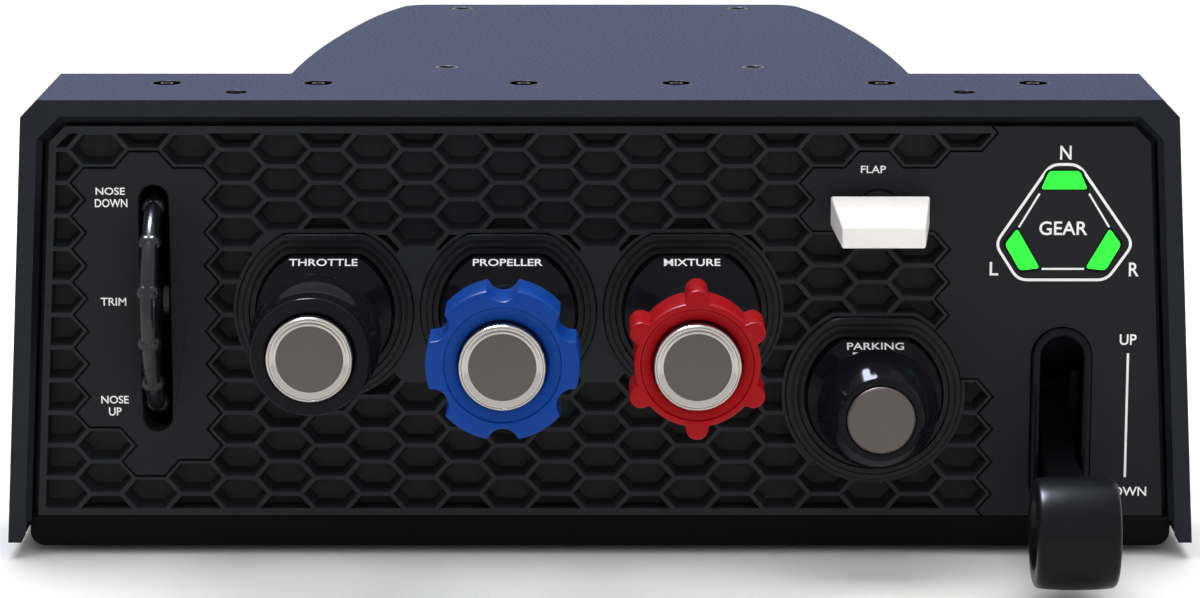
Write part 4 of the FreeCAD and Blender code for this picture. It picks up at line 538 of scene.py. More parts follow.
def legend(name: str, words: str, size: tuple[float, float], place: Matrix,
           lift: float = INK) -> bpy.types.Object:
    """Printed word of a given width and height.

    Args:
        name: Name of the piece.
        words: The letters.
        size: Width and height of the print.
        place: Turns the letters' plane and moves its middle on to the surface.
        lift: Thickness of the ink.

    Returns:
        The letters as one mesh.
    """
    text = bpy.data.curves.new(name, "FONT")
    text.body = words
    text.extrude = lift
    text.offset = 0.012
    text.resolution_u = 4
    mesh = evaluated_mesh(new_object(name, text))
    xs = [v.co.x for v in mesh.vertices]
    ys = [v.co.y for v in mesh.vertices]
    middle = Vector(((min(xs) + max(xs)) / 2, (min(ys) + max(ys)) / 2, 0))
    scale = (size[0] / (max(xs) - min(xs)), size[1] / (max(ys) - min(ys)), 1.0)
    mesh.transform(place @ Matrix.Diagonal((*scale, 1)) @ Matrix.Translation(-middle))
    return add_object(name, mesh, WHITE_INK)


def upright(x: float, y: float, z: float) -> Matrix:
    """Place for a print that faces the user on an upright face."""
    return Matrix.Translation((x, y, z)) @ Matrix.Rotation(math.pi / 2, 4, "X")


def print_words(prefix: str, face: float, start: tuple[float, float],
                spots: Sequence[tuple[str, float, float, float, float]],
                first: int = 0) -> None:
    """Print words on an upright face.

    Args:
        prefix: Start of the pieces' names.
        face: The face's y.
        start: Point in the face, as (x, z).
        spots: Each word, its middle across and up from the start, its width and height,
            in millimetres.
        first: Number of the first word.
    """
    for i, (word, dx, dz, width, height) in enumerate(spots, first):
        place = upright(start[0] + dx * MM, face, start[1] + dz * MM)
        printed(legend(f"{prefix}_word_{i}", word, (width * MM, height * MM), place))


def front_of(node: str) -> tuple[Vector, float]:
    """Middle of the front of a node's box, and the depth of the box."""
    low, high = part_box(node)
    return Vector(((low.x + high.x) / 2, low.y, (low.z + high.z) / 2)), high.y - low.y


def middle_of(node: str) -> Vector:
    """Middle of a node's box."""
    low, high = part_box(node)
    return (low + high) / 2


def islands(node: str) -> list[tuple[Vector, Vector]]:
    """Lowest and highest corners of each loose part of a node."""
    shape = bmesh.new()
    shape.from_mesh(frame["nodes"][node].data)
    bmesh.ops.remove_doubles(shape, verts=shape.verts, dist=MERGE)
    waiting = set(shape.verts)
    boxes = []
    while waiting:
        reach = [waiting.pop()]
        part = list(reach)
        while reach:
            for edge in reach.pop().link_edges:
                for vertex in edge.verts:
                    if vertex in waiting:
                        waiting.remove(vertex)
                        reach.append(vertex)
                        part.append(vertex)
        low = Vector([min(v.co[i] for v in part) for i in range(3)])
        high = Vector([max(v.co[i] for v in part) for i in range(3)])
        boxes.append((low, high))
    shape.free()
    return sorted(boxes, key=lambda pair: tuple(round(c, 5) for c in pair[0]))


def rounded_path(points: Sequence[tuple[float, float]], radius: float,
                 steps: int = 6) -> list[tuple[float, float]]:
    """Round the corners of a closed path.

    Args:
        points: Corners in the plane.
        radius: Reach of each rounding along its two sides.
        steps: Segments of one rounding.

    Returns:
        Points of the smooth closed path.
    """
    result = []
    for i, corner in enumerate(points):
        here = Vector(corner)
        before, after = Vector(points[i - 1]), Vector(points[(i + 1) % len(points)])
        reach = min(radius, 0.49 * (before - here).length, 0.49 * (after - here).length)
        start = here + (before - here).normalized() * reach
        end = here + (after - here).normalized() * reach
        for k in range(steps + 1):
            t = k / steps
            result.append(tuple(start * (1 - t) ** 2 + here * 2 * t * (1 - t) + end * t ** 2))
    return result


def grown(points: Sequence[tuple[float, float]], amount: float) -> list[tuple[float, float]]:
    """Move every point of a closed convex path away from its middle."""
    middle = sum((Vector(p) for p in points), Vector((0, 0))) / len(points)
    result = []
    for p in points:
        away = Vector(p) - middle
        result.append(tuple(middle + away.normalized() * (away.length + amount)))
    return result


def open_rule(tree: bpy.types.NodeTree, entries: Sequence[tuple[str, str]],
              result: str) -> dict[str, str]:
    """Give a Geometry Nodes tree its inputs and its one output.

    Args:
        tree: The tree.
        entries: Label and kind of each input.
        result: Label of the output.

    Returns:
        Label of each input to its identifier.
    """
    identifiers = {}
    for label, kind in entries:
        socket = tree.interface.new_socket(label, in_out="INPUT",
                                           socket_type=f"NodeSocket{kind}")
        identifiers[label] = socket.identifier
    tree.interface.new_socket(result, in_out="OUTPUT", socket_type="NodeSocketGeometry")
    return identifiers


def scattered(name: str, spots: Sequence[Vector], item: bpy.types.Object, finish: Finish,
              seed: int, turn: float = math.tau) -> bpy.types.Object:
    """Set one item on many spots by Geometry Nodes, each with its own turn.

    Args:
        name: Name of the piece.
        spots: Where the items go.
        item: The item, which is removed.
        finish: Finish of the piece.
        seed: Seed of the turns about z.
        turn: Largest turn.

    Returns:
        One plain mesh of all the items.
    """
    tree = bpy.data.node_groups.new(f"{name}_rule", "GeometryNodeTree")
    sockets = open_rule(tree, (("Spots", "Geometry"), ("Item", "Object"),
                               ("Largest turn", "Float"), ("Seed", "Int")), "Items")
    given = add(tree, "NodeGroupInput")
    shape = add(tree, "GeometryNodeObjectInfo", {"Object": given.outputs["Item"]})
    angle = add(tree, "FunctionNodeRandomValue", data_type="FLOAT")
    tree.links.new(given.outputs["Seed"], angle.inputs["Seed"])
    spin = add(tree, "ShaderNodeMath", {
        0: angle.outputs[1], 1: given.outputs["Largest turn"]}, operation="MULTIPLY")
    turned = add(tree, "ShaderNodeCombineXYZ", {"Z": spin.outputs[0]})
    placed = add(tree, "GeometryNodeInstanceOnPoints", {
        "Points": given.outputs["Spots"], "Instance": shape.outputs["Geometry"],
        "Rotation": turned.outputs[0]})
    real = add(tree, "GeometryNodeRealizeInstances", {"Geometry": placed.outputs[0]})
    dressed = add(tree, "GeometryNodeSetMaterial", {
        "Geometry": real.outputs[0], "Material": finish.build()})
    add(tree, "NodeGroupOutput", {"Items": dressed.outputs[0]})
    mesh = bpy.data.meshes.new(f"{name}_spots")
    mesh.from_pydata(spots, [], [])
    piece = grown_by_rule(name, mesh, tree, {
        sockets["Item"]: item, sockets["Largest turn"]: turn, sockets["Seed"]: seed}, finish)
    bpy.data.objects.remove(item)
    return piece


def grown_by_rule(name: str, mesh: bpy.types.Mesh, tree: bpy.types.NodeTree,
                  inputs: dict[str, object], finish: Finish) -> bpy.types.Object:
    """Run a Geometry Nodes tree and keep its result as a plain mesh.

    Args:
        name: Name of the piece.
        mesh: What the tree starts from.
        tree: The tree.
        inputs: Identifier of an input socket to its value.
        finish: Finish of the piece.

    Returns:
        The piece, with no modifier left.
    """
    holder = new_object(f"{name}_holder", mesh)
    modifier = holder.modifiers.new("rule", "NODES")
    modifier.node_group = tree
    for identifier, setting in inputs.items():
        modifier[identifier] = setting
    result = evaluated_mesh(holder)
    result.name = name
    return add_object(name, result, finish)


# --- sub-assemblies ---------------------------------------------------------

@dataclass
class Housing:
    """Cover, tray, panel and plates, with their edges softened."""

    cover_edge: float = 0.5 * MM
    panel_edge: float = 0.14 * MM
    plate_edge: float = 0.4 * MM
    tray_edge: float = 0.4 * MM
    foot_round: float = 0.7 * MM
    insert_edge: float = 0.3 * MM
    socket: float = 0.42
    socket_depth: float = 0.9 * MM
    head_depth: float = 1.6 * MM
    head_points: int = 36

    def build(self) -> None:
        """Make the shells."""
        for node, finish, edge, crease, steps, slot in (
                ("top_cover", COVER_PAINT, self.cover_edge, 25, 2, "housing_paint"),
                ("base_tray", TRAY_ABS, self.tray_edge, 30, 2, "tray_plastic"),
                ("front_panel", PANEL_ABS, self.panel_edge, 30, 1, "panel_plastic"),
                ("trim_plate", PLATE_ABS, self.plate_edge, 30, 2, "panel_plastic"),
                ("switch_plate", PLATE_ABS, self.plate_edge, 30, 2, "panel_plastic"),
                ("rubber_feet", RUBBER, self.foot_round, 30, 4, "foot_rubber"),
                ("desk_inserts", BLACK_STEEL, self.insert_edge, 30, 2, "dark_steel"),
                ("usb_socket", GROUND_STEEL, self.insert_edge, 30, 2, "steel")):
            mount(softened(node, finish, edge, crease, steps), "housing")
        self.screws("cover_screws", True, 11)
        self.screws("small_cover_screws", True, 12)
        self.screws("base_screws", False, 13)

    def screws(self, node: str, upward: bool, seed: int) -> None:
        """Countersunk socket heads over the plain heads of a node.

        Args:
            node: Node that holds the screws.
            upward: Whether the heads are at the top.
            seed: Seed of the heads' turns.
        """
        boxes = islands(node)
        radius = max((high.x - low.x) / 2 for low, high in boxes)
        face = max(high.z for _, high in boxes) if upward else min(low.z for low, _ in boxes)
        sign = 1 if upward else -1
        spots = [Vector(((low.x + high.x) / 2, (low.y + high.y) / 2, face))
                 for low, high in boxes if high.x - low.x > 1.8 * radius]
        key = self.socket * radius
        layers = [
            (POLE, -self.socket_depth, True), (key, -self.socket_depth, True),
            (key, -0.02 * MM, True), (key * 1.06, 0.0, True),
            (radius * 0.93, 0.0, False), (radius * 0.99, -0.1 * MM, False),
            (radius * 0.99, -0.25 * MM, False), (radius * 0.55, -self.head_depth, False)]
        loops = [self.head_loop(size, height * sign, six) for size, height, six in layers]
        head = solid_of_loops(f"{node}_head", loops, BLACK_STEEL, 30)
        mount(scattered(f"{node}_heads", spots, head, BLACK_STEEL, seed), "housing")

    def head_loop(self, radius: float, height: float, six_sided: bool) -> Loop:
        """One ring of a screw head, round or with six sides."""
        loop = []
        for i in range(self.head_points):
            angle = math.tau * i / self.head_points
            reach = radius
            if six_sided:
                third = math.tau / 6
                reach = radius * math.cos(third / 2) / math.cos(angle % third - third / 2)
            loop.append(Vector((reach * math.cos(angle), reach * math.sin(angle), height)))
        return loop


@dataclass
class Control:
    """One push-pull control: ring, collar, knob and button."""

    name: str
    words: tuple[str, ...]
    word_width: float
    edge: float = 0.3 * MM
    word_height: float = 1.9 * MM
    print_row: float = 2.6 * MM
    first_row: float = 1.35 * MM
    second_share: float = 0.8
    bore: float = 17.3 * MM
    corner: float = 60.0
    ring_points: int = 144
    print_gap: float = 0.1 * MM
    step_start: float = 1.5 * MM
    step_pitch: float = 1.65 * MM
    step_heights: tuple[float, ...] = (0.35 * MM, 0.7 * MM)
    button_depth: float = 4.6 * MM

    def dress_mount(self) -> None:
        """Ring and collar around the barrel, with the printed word on the collar's slope."""
        slope = self.facet()
        top = (slope @ Vector((0, self.first_row, 0))).z
        self.ring(top - middle_of(f"{self.name}_barrel").z)
        mount(softened(f"{self.name}_collar", GLOSS_ABS, self.edge, 12, top=top), "housing")
        for i, word in enumerate(self.words):
            down = Matrix.Translation((0, -i * self.print_row, 0))
            width = self.word_width * (1 if i == 0 else self.second_share)
            printed(legend(f"{self.name}_word_{i}", word, (width, self.word_height),
                           slope @ down))

    def ring(self, flat: float) -> None:
        """Stepped ring around the collar, flat at the top outside and inside.

        Args:
            flat: Height of the inner flat above the axis.
        """
        node = f"{self.name}_ring"
        low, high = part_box(node)
        centre = middle_of(f"{self.name}_barrel")
        centre.y = low.y
        radius, top = (high.x - low.x) / 2, high.z - centre.z
        back = high.y - low.y
        drop = (top - flat - self.print_gap) / (radius - self.bore)
        profile = [(0.0, back), (0.0, 0.3 * MM), (0.25 * MM, 0.0), (1.35 * MM, 0.0)]
        for step, proud in enumerate(self.step_heights):
            start = self.step_start + self.step_pitch * step
            profile += [(start, 0.4 * MM), (start + 0.3 * MM, 0.4 * MM),
                        (start + 0.4 * MM, -proud), (start + 1.35 * MM, -proud)]
        profile += [(radius - self.bore, 0.3 * MM), (radius - self.bore, back)]
        loops = []
        for inset, depth in profile:
            reach, level = radius - inset, top - inset * drop
            loop = []
            for i in range(self.ring_points):
                angle = math.tau * i / self.ring_points
                rise = math.sin(angle)
                size = reach
                if rise > 0:
                    size = (reach ** -self.corner + (level / rise) ** -self.corner) ** (
                        -1 / self.corner)
                loop.append(centre + Vector((size * math.cos(angle), depth, size * rise)))
            loops.append(loop)
        dress(solid_of_loops(f"{node}_look", loops, RING_ABS, 30, hollow=True), node,
              "housing")

    def facet(self) -> Matrix:
        """Plane of the collar's sloping facet, found in the frame's mesh."""
        mesh = frame["nodes"][f"{self.name}_collar"].data
        tilt, skew, match = 0.3, 0.01, 0.9999
        tilted = [p for p in mesh.polygons if p.normal.z > tilt and p.normal.y < -tilt
                  and abs(p.normal.x) < skew]
        best = max(tilted, key=lambda p: p.area)
        same = [p for p in tilted if p.normal.dot(best.normal) > match]
        spots = [mesh.vertices[i].co for p in same for i in p.vertices]
        top = max(spots, key=lambda c: c.z)
        x = (min(c.x for c in spots) + max(c.x for c in spots)) / 2
        up = Vector((1, 0, 0)).cross(best.normal) * -1
        turn = Matrix((Vector((1, 0, 0)), up, best.normal)).transposed().to_4x4()
        start = Vector((x, top.y, top.z)) - up * self.first_row
        return Matrix.Translation(start) @ turn

    def button(self, node: str) -> None:
        """Turned push button with a raised rim around a shallow dish."""
        low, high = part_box(node)
        centre, _ = front_of(node)
        radius = (high.x - low.x) / 2
        thick = self.button_depth
        profile = [
            (POLE, 0.95 * MM, 0), (8.1 * MM, 0.95 * MM, 0.1 * MM),
            (8.5 * MM, 0.75 * MM, 0.15 * MM), (9.2 * MM, 0.12 * MM, 0.25 * MM),
            (9.5 * MM, 0.1 * MM, 0.1 * MM), (9.62 * MM, 0.28 * MM, 0.06 * MM),
            (9.74 * MM, 0.08 * MM, 0.06 * MM), (9.95 * MM, 0.0, 0.1 * MM),
            (radius, 0.4 * MM, 0.3 * MM), (radius, thick - 0.4 * MM, 0.2 * MM),
            (radius - 0.4 * MM, thick, 0.1 * MM), (POLE, thick, 0)]
        dress(lathe(f"{node}_look", profile, centre, TURNED_ALUMINIUM), node, node)
        disc = [
            (POLE, 0.85 * MM, 0), (7.9 * MM, 0.85 * MM, 0.2 * MM),
            (8.15 * MM, 1.05 * MM, 0.1 * MM), (POLE, 1.1 * MM, 0)]
        mount(lathe(f"{node}_dish", disc, centre, BLASTED_ALUMINIUM), node)


@dataclass
class EngineKnobs:
    """The throttle, propeller and mixture knobs and the parking knob."""

    count: int = 360
    lobes: int = 6
    notch_radius: float = 3.8 * MM
    notch_depth: float = 2.9 * MM
    bump_radius: float = 2.7 * MM
    bump_centre: float = 15.3 * MM
    mixture_radius: float = 14.9 * MM
    propeller_radius: float = 18.2 * MM
    least_rim: float = 0.9 * MM
    well: float = 10.6 * MM
    well_depth: float = 6.0 * MM

    def build(self) -> None:
        """Make the four knobs."""
        self.throttle()
        self.star("propeller_knob", self.notched, BLUE_ABS, 13.9 * MM)
        self.star("mixture_knob", self.bumped, RED_ABS, 13.4 * MM)
        self.parking()

    def throttle(self) -> None:
        """Waisted knob in polished black."""
        centre, length = front_of("throttle_knob")
        profile = [
            (POLE, self.well_depth, 0), (self.well, self.well_depth, 0.3 * MM),
            (self.well, 0.4 * MM, 0.3 * MM), (11.2 * MM, 0.0, 0.3 * MM),
            (13.9 * MM, 0.0, 0.5 * MM), (14.4 * MM, 0.7 * MM, 0.5 * MM),
            (13.4 * MM, 6.6 * MM, 4 * MM), (13.4 * MM, 9.9 * MM, 4 * MM),
            (16.0 * MM, 15.4 * MM, 3 * MM), (16.0 * MM, length - 0.6 * MM, 0.8 * MM),
            (15.2 * MM, length, 0.5 * MM), (POLE, length, 0)]
        dress(lathe("throttle_knob_look", profile, centre, GLOSS_ABS, segments=128),
              "throttle_knob", "throttle_knob")

    def notched(self, angle: float) -> float:
        """Radius of the propeller knob, a disc with six finger notches."""
        radius = self.propeller_radius
        step = math.tau / self.lobes
        turn = (angle + step / 2) % step - step / 2
        ring = radius - self.notch_depth + self.notch_radius
        side = ring * math.sin(turn)
        if abs(side) >= self.notch_radius * 0.985:
            return radius
        wall = ring * math.cos(turn) - math.sqrt(self.notch_radius ** 2 - side ** 2)
        return min(radius, wall)

    def bumped(self, angle: float) -> float:
        """Radius of the mixture knob, a disc with six round bumps."""
        step = math.tau / self.lobes
        turn = (angle + step / 2) % step - step / 2
        side = self.bump_centre * math.sin(turn)
        base = self.mixture_radius
        if abs(side) >= self.bump_radius:
            return base
        bump = self.bump_centre * math.cos(turn) + math.sqrt(self.bump_radius ** 2 - side ** 2)
        return max(base, bump)

    def star(self, node: str, outline: Callable[[float], float], finish: Finish,
             shelf: float) -> None:
        """Knob whose side follows a six-fold outline.

        Args:
            node: CAD node that the knob stands for.
            outline: Radius at an angle.
            finish: Its finish.
            shelf: Radius of the step in its face.
        """
        middle, length = front_of(node)
        layers = [
            ("side", 1.2 * MM, length), ("side", 0.35 * MM, length - 0.3 * MM),
            ("side", 0.0, length - 1.1 * MM), ("side", 0.0, 0.75 * MM),
            ("side", 0.12 * MM, 0.3 * MM), ("side", 0.4 * MM, 0.06 * MM),
            ("side", 0.7 * MM, 0.0),
            ("ring", shelf + 0.3 * MM, 0.0), ("ring", shelf + 0.05 * MM, 0.06 * MM),
            ("ring", shelf - 0.25 * MM, 0.55 * MM), ("ring", shelf - 0.6 * MM, 0.62 * MM),
            ("ring", self.well + 0.75 * MM, 0.95 * MM), ("ring", self.well + 0.2 * MM, 1.2 * MM),
            ("ring", self.well, 1.6 * MM), ("ring", self.well, self.well_depth),
            ("ring", POLE, self.well_depth)]
        loops = []
        for kind, inset, depth in layers:
            loop = []
            for i in range(self.count):
                angle = math.tau * i / self.count
                edge = outline(angle)
                reach = edge - inset if kind == "side" else min(inset, edge - self.least_rim)
                loop.append(middle + Vector((reach * math.sin(angle), depth,
                                             reach * math.cos(angle))))
            loops.append(loop)
        dress(solid_of_loops(f"{node}_look", loops, finish, 40), node, node)

    def parking(self) -> None:
        """Cone knob of the parking brake and its bright cap."""
        centre, length = front_of("parking_knob")
        profile = [
            (POLE, 0.6 * MM, 0), (8.55 * MM, 0.6 * MM, 0.1 * MM),
            (8.55 * MM, 0.15 * MM, 0.2 * MM), (9.0 * MM, 0.0, 0.3 * MM),
            (9.9 * MM, 0.0, 0.4 * MM), (10.4 * MM, 0.4 * MM, 0.5 * MM),
            (13.7 * MM, 5.6 * MM, 4.0 * MM), (15.0 * MM, 12.0 * MM, 0.8 * MM),
            (15.0 * MM, 13.0 * MM, 0.3 * MM),
            (14.4 * MM, 13.5 * MM, 0.4 * MM), (8.0 * MM, 13.5 * MM, 0.4 * MM),
            (8.0 * MM, length, 0.3 * MM), (POLE, length, 0)]
        dress(lathe("parking_knob_look", profile, centre, GLOSS_ABS, segments=128),
              "parking_knob", "parking_brake")
        centre, _ = front_of("parking_cap")
        disc = [
            (POLE, 0.0, 0), (7.9 * MM, 0.0, 0.15 * MM), (8.35 * MM, 0.35 * MM, 0.15 * MM),
            (8.35 * MM, 1.2 * MM, 0.1 * MM), (POLE, 1.2 * MM, 0)]
        dress(lathe("parking_cap_look", disc, centre, BLASTED_ALUMINIUM), "parking_cap",
              "parking_brake")


@dataclass
class TrimWheel:
    """Elevator trim wheel, with the words beside it."""

    ring: float = 26.6 * MM
    tube: float = 2.15 * MM
    bead: float = 2.3 * MM
    bead_gap: float = 0.7 * MM
    beads: int = 13
    web: float = 2.2 * MM
    hub: float = 5.4 * MM

    def build(self) -> None:
        """Make the wheel and print the words."""
        low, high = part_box("trim_wheel")
        joint = next(j for j in frame["joints"] if j["child"] == "trim_wheel")
        centre = Vector(joint["pos_m"])
        centre.x = (low.x + high.x) / 2
        rim = self.rim(centre)
        half = (high.x - low.x) / 2
        profile = [
            (2.4 * MM, -half, 0.0), (self.hub, -half, 0.4 * MM),
            (self.hub, -self.web / 2, 0.6 * MM), (self.ring, -self.web / 2, 0.0),
            (self.ring, self.web / 2, 0.0), (self.hub, self.web / 2, 0.6 * MM),
            (self.hub, half, 0.4 * MM), (2.4 * MM, half, 0.0)]
        web = lathe("trim_web_look", profile, centre, WHEEL_ABS, "x")
        dress(rim, "trim_wheel", "trim_wheel")
        mount(web, "trim_wheel")
        self.words()

    def rim(self, centre: Vector) -> bpy.types.Object:
        """Round rim with its beads, by Geometry Nodes."""
        tree = bpy.data.node_groups.new("beaded_rim_rule", "GeometryNodeTree")
        values = {"Ring radius": self.ring, "Tube radius": self.tube, "Bead radius": self.bead,
                  "Bead gap": self.bead_gap, "Beads": self.beads, "Centre": tuple(centre)}
        kinds = {"Beads": "Int", "Centre": "Vector"}
        entries = [(label, kinds.get(label, "Float")) for label in values]
        sockets = open_rule(tree, [("Start", "Geometry"), *entries], "Rim")
        inputs = {sockets[label]: setting for label, setting in values.items()}
        given = add(tree, "NodeGroupInput").outputs
        path = add(tree, "GeometryNodeCurvePrimitiveCircle", {
            "Resolution": 156, "Radius": given["Ring radius"]})
        section = add(tree, "GeometryNodeCurvePrimitiveCircle", {
            "Resolution": 20, "Radius": given["Tube radius"]})
        tube = add(tree, "GeometryNodeCurveToMesh", {
            "Curve": path.outputs["Curve"], "Profile Curve": section.outputs["Curve"]})
        ball = add(tree, "GeometryNodeMeshUVSphere", {
            "Segments": 28, "Rings": 18, "Radius": given["Bead radius"]})
        up = add(tree, "ShaderNodeCombineXYZ", {"Z": given["Bead gap"]})
        down = add(tree, "ShaderNodeVectorMath", {0: up.outputs[0], 1: (-1, -1, -1)},
                   operation="MULTIPLY")
        pair = add(tree, "GeometryNodeJoinGeometry")
        for offset in (up, down):
            moved = add(tree, "GeometryNodeTransform", {
                "Geometry": ball.outputs["Mesh"], "Translation": offset.outputs[0]})
            tree.links.new(moved.outputs[0], pair.inputs[0])
        ring = add(tree, "GeometryNodeMeshCircle", {
            "Vertices": given["Beads"], "Radius": given["Ring radius"]})
        placed = add(tree, "GeometryNodeInstanceOnPoints", {
            "Points": ring.outputs["Mesh"], "Instance": pair.outputs[0]})
        whole = add(tree, "GeometryNodeJoinGeometry")
        tree.links.new(tube.outputs[0], whole.inputs[0])
        tree.links.new(placed.outputs[0], whole.inputs[0])
        # The first bead stands half a step off the front of the wheel.
        start = add(tree, "GeometryNodeTransform", {
            "Geometry": whole.outputs[0],
            "Rotation": (0, 0, -math.pi / 2 - math.pi / self.beads)})
        stood = add(tree, "GeometryNodeTransform", {
            "Geometry": start.outputs[0], "Rotation": (0, math.pi / 2, 0),
            "Translation": given["Centre"]})
        real = add(tree, "GeometryNodeRealizeInstances", {"Geometry": stood.outputs[0]})
        smooth = add(tree, "GeometryNodeSetShadeSmooth", {"Geometry": real.outputs[0]})
        dressed = add(tree, "GeometryNodeSetMaterial", {
            "Geometry": smooth.outputs[0], "Material": WHEEL_ABS.build()})
        add(tree, "NodeGroupOutput", {"Rim": dressed.outputs[0]})
        return grown_by_rule("trim_rim_look", bpy.data.meshes.new("rim_start"), tree, inputs,
                             WHEEL_ABS)

    def words(self) -> None:
        """Print the words on the plate."""
        wheel = middle_of("trim_wheel")
        print_words("trim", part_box("trim_plate")[0].y, (wheel.x, wheel.z), (
            ("NOSE", -10.65, 28.9, 7.3, 1.85), ("DOWN", -10.5, 25.9, 8.1, 2.1),
            ("TRIM", -10.5, 0.9, 6.4, 2.0), ("NOSE", -10.7, -24.2, 6.9, 2.0),
            ("UP", -10.7, -27.25, 3.2, 2.1)))


@dataclass
class SwitchPlate:
    """Words, lines and lamps of the flap and gear controls, and the flap paddle."""

    paddle_round: float = 0.7 * MM
    line: float = 0.7 * MM
    thin_line: float = 0.5 * MM
    corner: float = 2.4 * MM
    lens_round: float = 0.9 * MM
    bezel: float = 0.75 * MM

    def build(self) -> None:
        """Make the paddle, the lamps and the print."""
        mount(softened("flap_paddle", WHITE_ABS, self.paddle_round, 30, 4), "flap_lever")
        for node in ("nose_lens", "left_lens", "right_lens"):
            self.lamp(node)
        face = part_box("switch_plate")[0].y
        self.words(face)
        self.lines(face)

    def words(self, face: float) -> None:
        """Print the words around the paddle and around the gear slot."""
        print_words("switch", face, (middle_of("flap_paddle").x, 0.0),
                    (("FLAP", -1.4, 99.2, 6.2, 1.85),))
        print_words("switch", face, (middle_of("gear_slot_rim").x, 0.0), (
            ("GEAR", -0.3, 84.35, 12.0, 3.5), ("N", -0.1, 103.4, 2.8, 3.5),
            ("L", -17.4, 74.1, 2.15, 3.4), ("R", 17.5, 73.9, 2.45, 3.5),
            ("UP", 16.55, 56.0, 4.2, 2.75), ("DOWN", 16.6, 16.9, 11.0, 2.4)), first=1)

    def lines(self, face: float) -> None:
        """Print the outline around the lamps, its inner strokes and the travel line."""
        across = middle_of("gear_slot_rim").x
        x, z = across - 0.3 * MM, 84.25 * MM
        corners = ((-3.5, 16.2), (3.5, 16.2), (17.5, -3.9), (11.1, -13.0), (-11.1, -13.0),
                   (-16.9, -3.9))
        path = rounded_path([(x + dx * MM, z + dz * MM) for dx, dz in corners], self.corner)
        printed(ribbon("lamp_outline", path, self.line, face, True))
        strokes = (((-6.1, 8.85), (-11.1, 0.35)), ((6.2, 8.85), (11.4, 0.35)),
                   ((-5.2, -10.2), (5.4, -10.2)))
        for i, stroke in enumerate(strokes):
            path = [(x + dx * MM, z + dz * MM) for dx, dz in stroke]
            printed(ribbon(f"lamp_stroke_{i}", path, self.thin_line, face, False))
        path = [(across + 16.6 * MM, height * MM) for height in (52.5, 20.6)]
        printed(ribbon("travel_line", path, self.line * 0.85, face, False))

    def lamp(self, node: str) -> None:
        """Green lens with round corners in a black bezel."""
        low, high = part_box(node)
        mesh = frame["nodes"][node].data
        front = {(round(v.co.x, 6), round(v.co.z, 6)) for v in mesh.vertices
                 if v.co.y < low.y + 0.01 * MM}
        middle = sum((Vector(p) for p in front), Vector((0, 0))) / len(front)
        corners = sorted(front, key=lambda p: math.atan2(p[1] - middle.y, p[0] - middle.x))
        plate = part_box("switch_plate")[0].y
        outline = rounded_path(corners, self.lens_round)
        layers = ((0.0, high.y), (0.0, low.y + 0.2 * MM), (-0.1 * MM, low.y + 0.06 * MM),
                  (-0.35 * MM, low.y), (-0.9 * MM, low.y - 0.03 * MM))
        dress(self.stacked(f"{node}_look", outline, layers, GREEN_LENS), node, "housing")
        layers = ((self.bezel, plate + 0.1 * MM), (self.bezel, plate - 0.08 * MM),
                  (self.bezel - 0.12 * MM, plate - 0.16 * MM), (0.15 * MM, plate - 0.16 * MM),
                  (0.05 * MM, plate - 0.05 * MM))
        mount(self.stacked(f"{node}_bezel", outline, layers, GLOSS_ABS), "housing")

    @staticmethod
    def stacked(name: str, outline: Sequence[tuple[float, float]],
                layers: Sequence[tuple[float, float]], finish: Finish) -> bpy.types.Object:
        """Piece with one outline, grown and set at a depth for each layer."""
        loops = [[Vector((x, y, z)) for x, z in grown(outline, amount)] for amount, y in layers]
        return solid_of_loops(name, loops, finish)


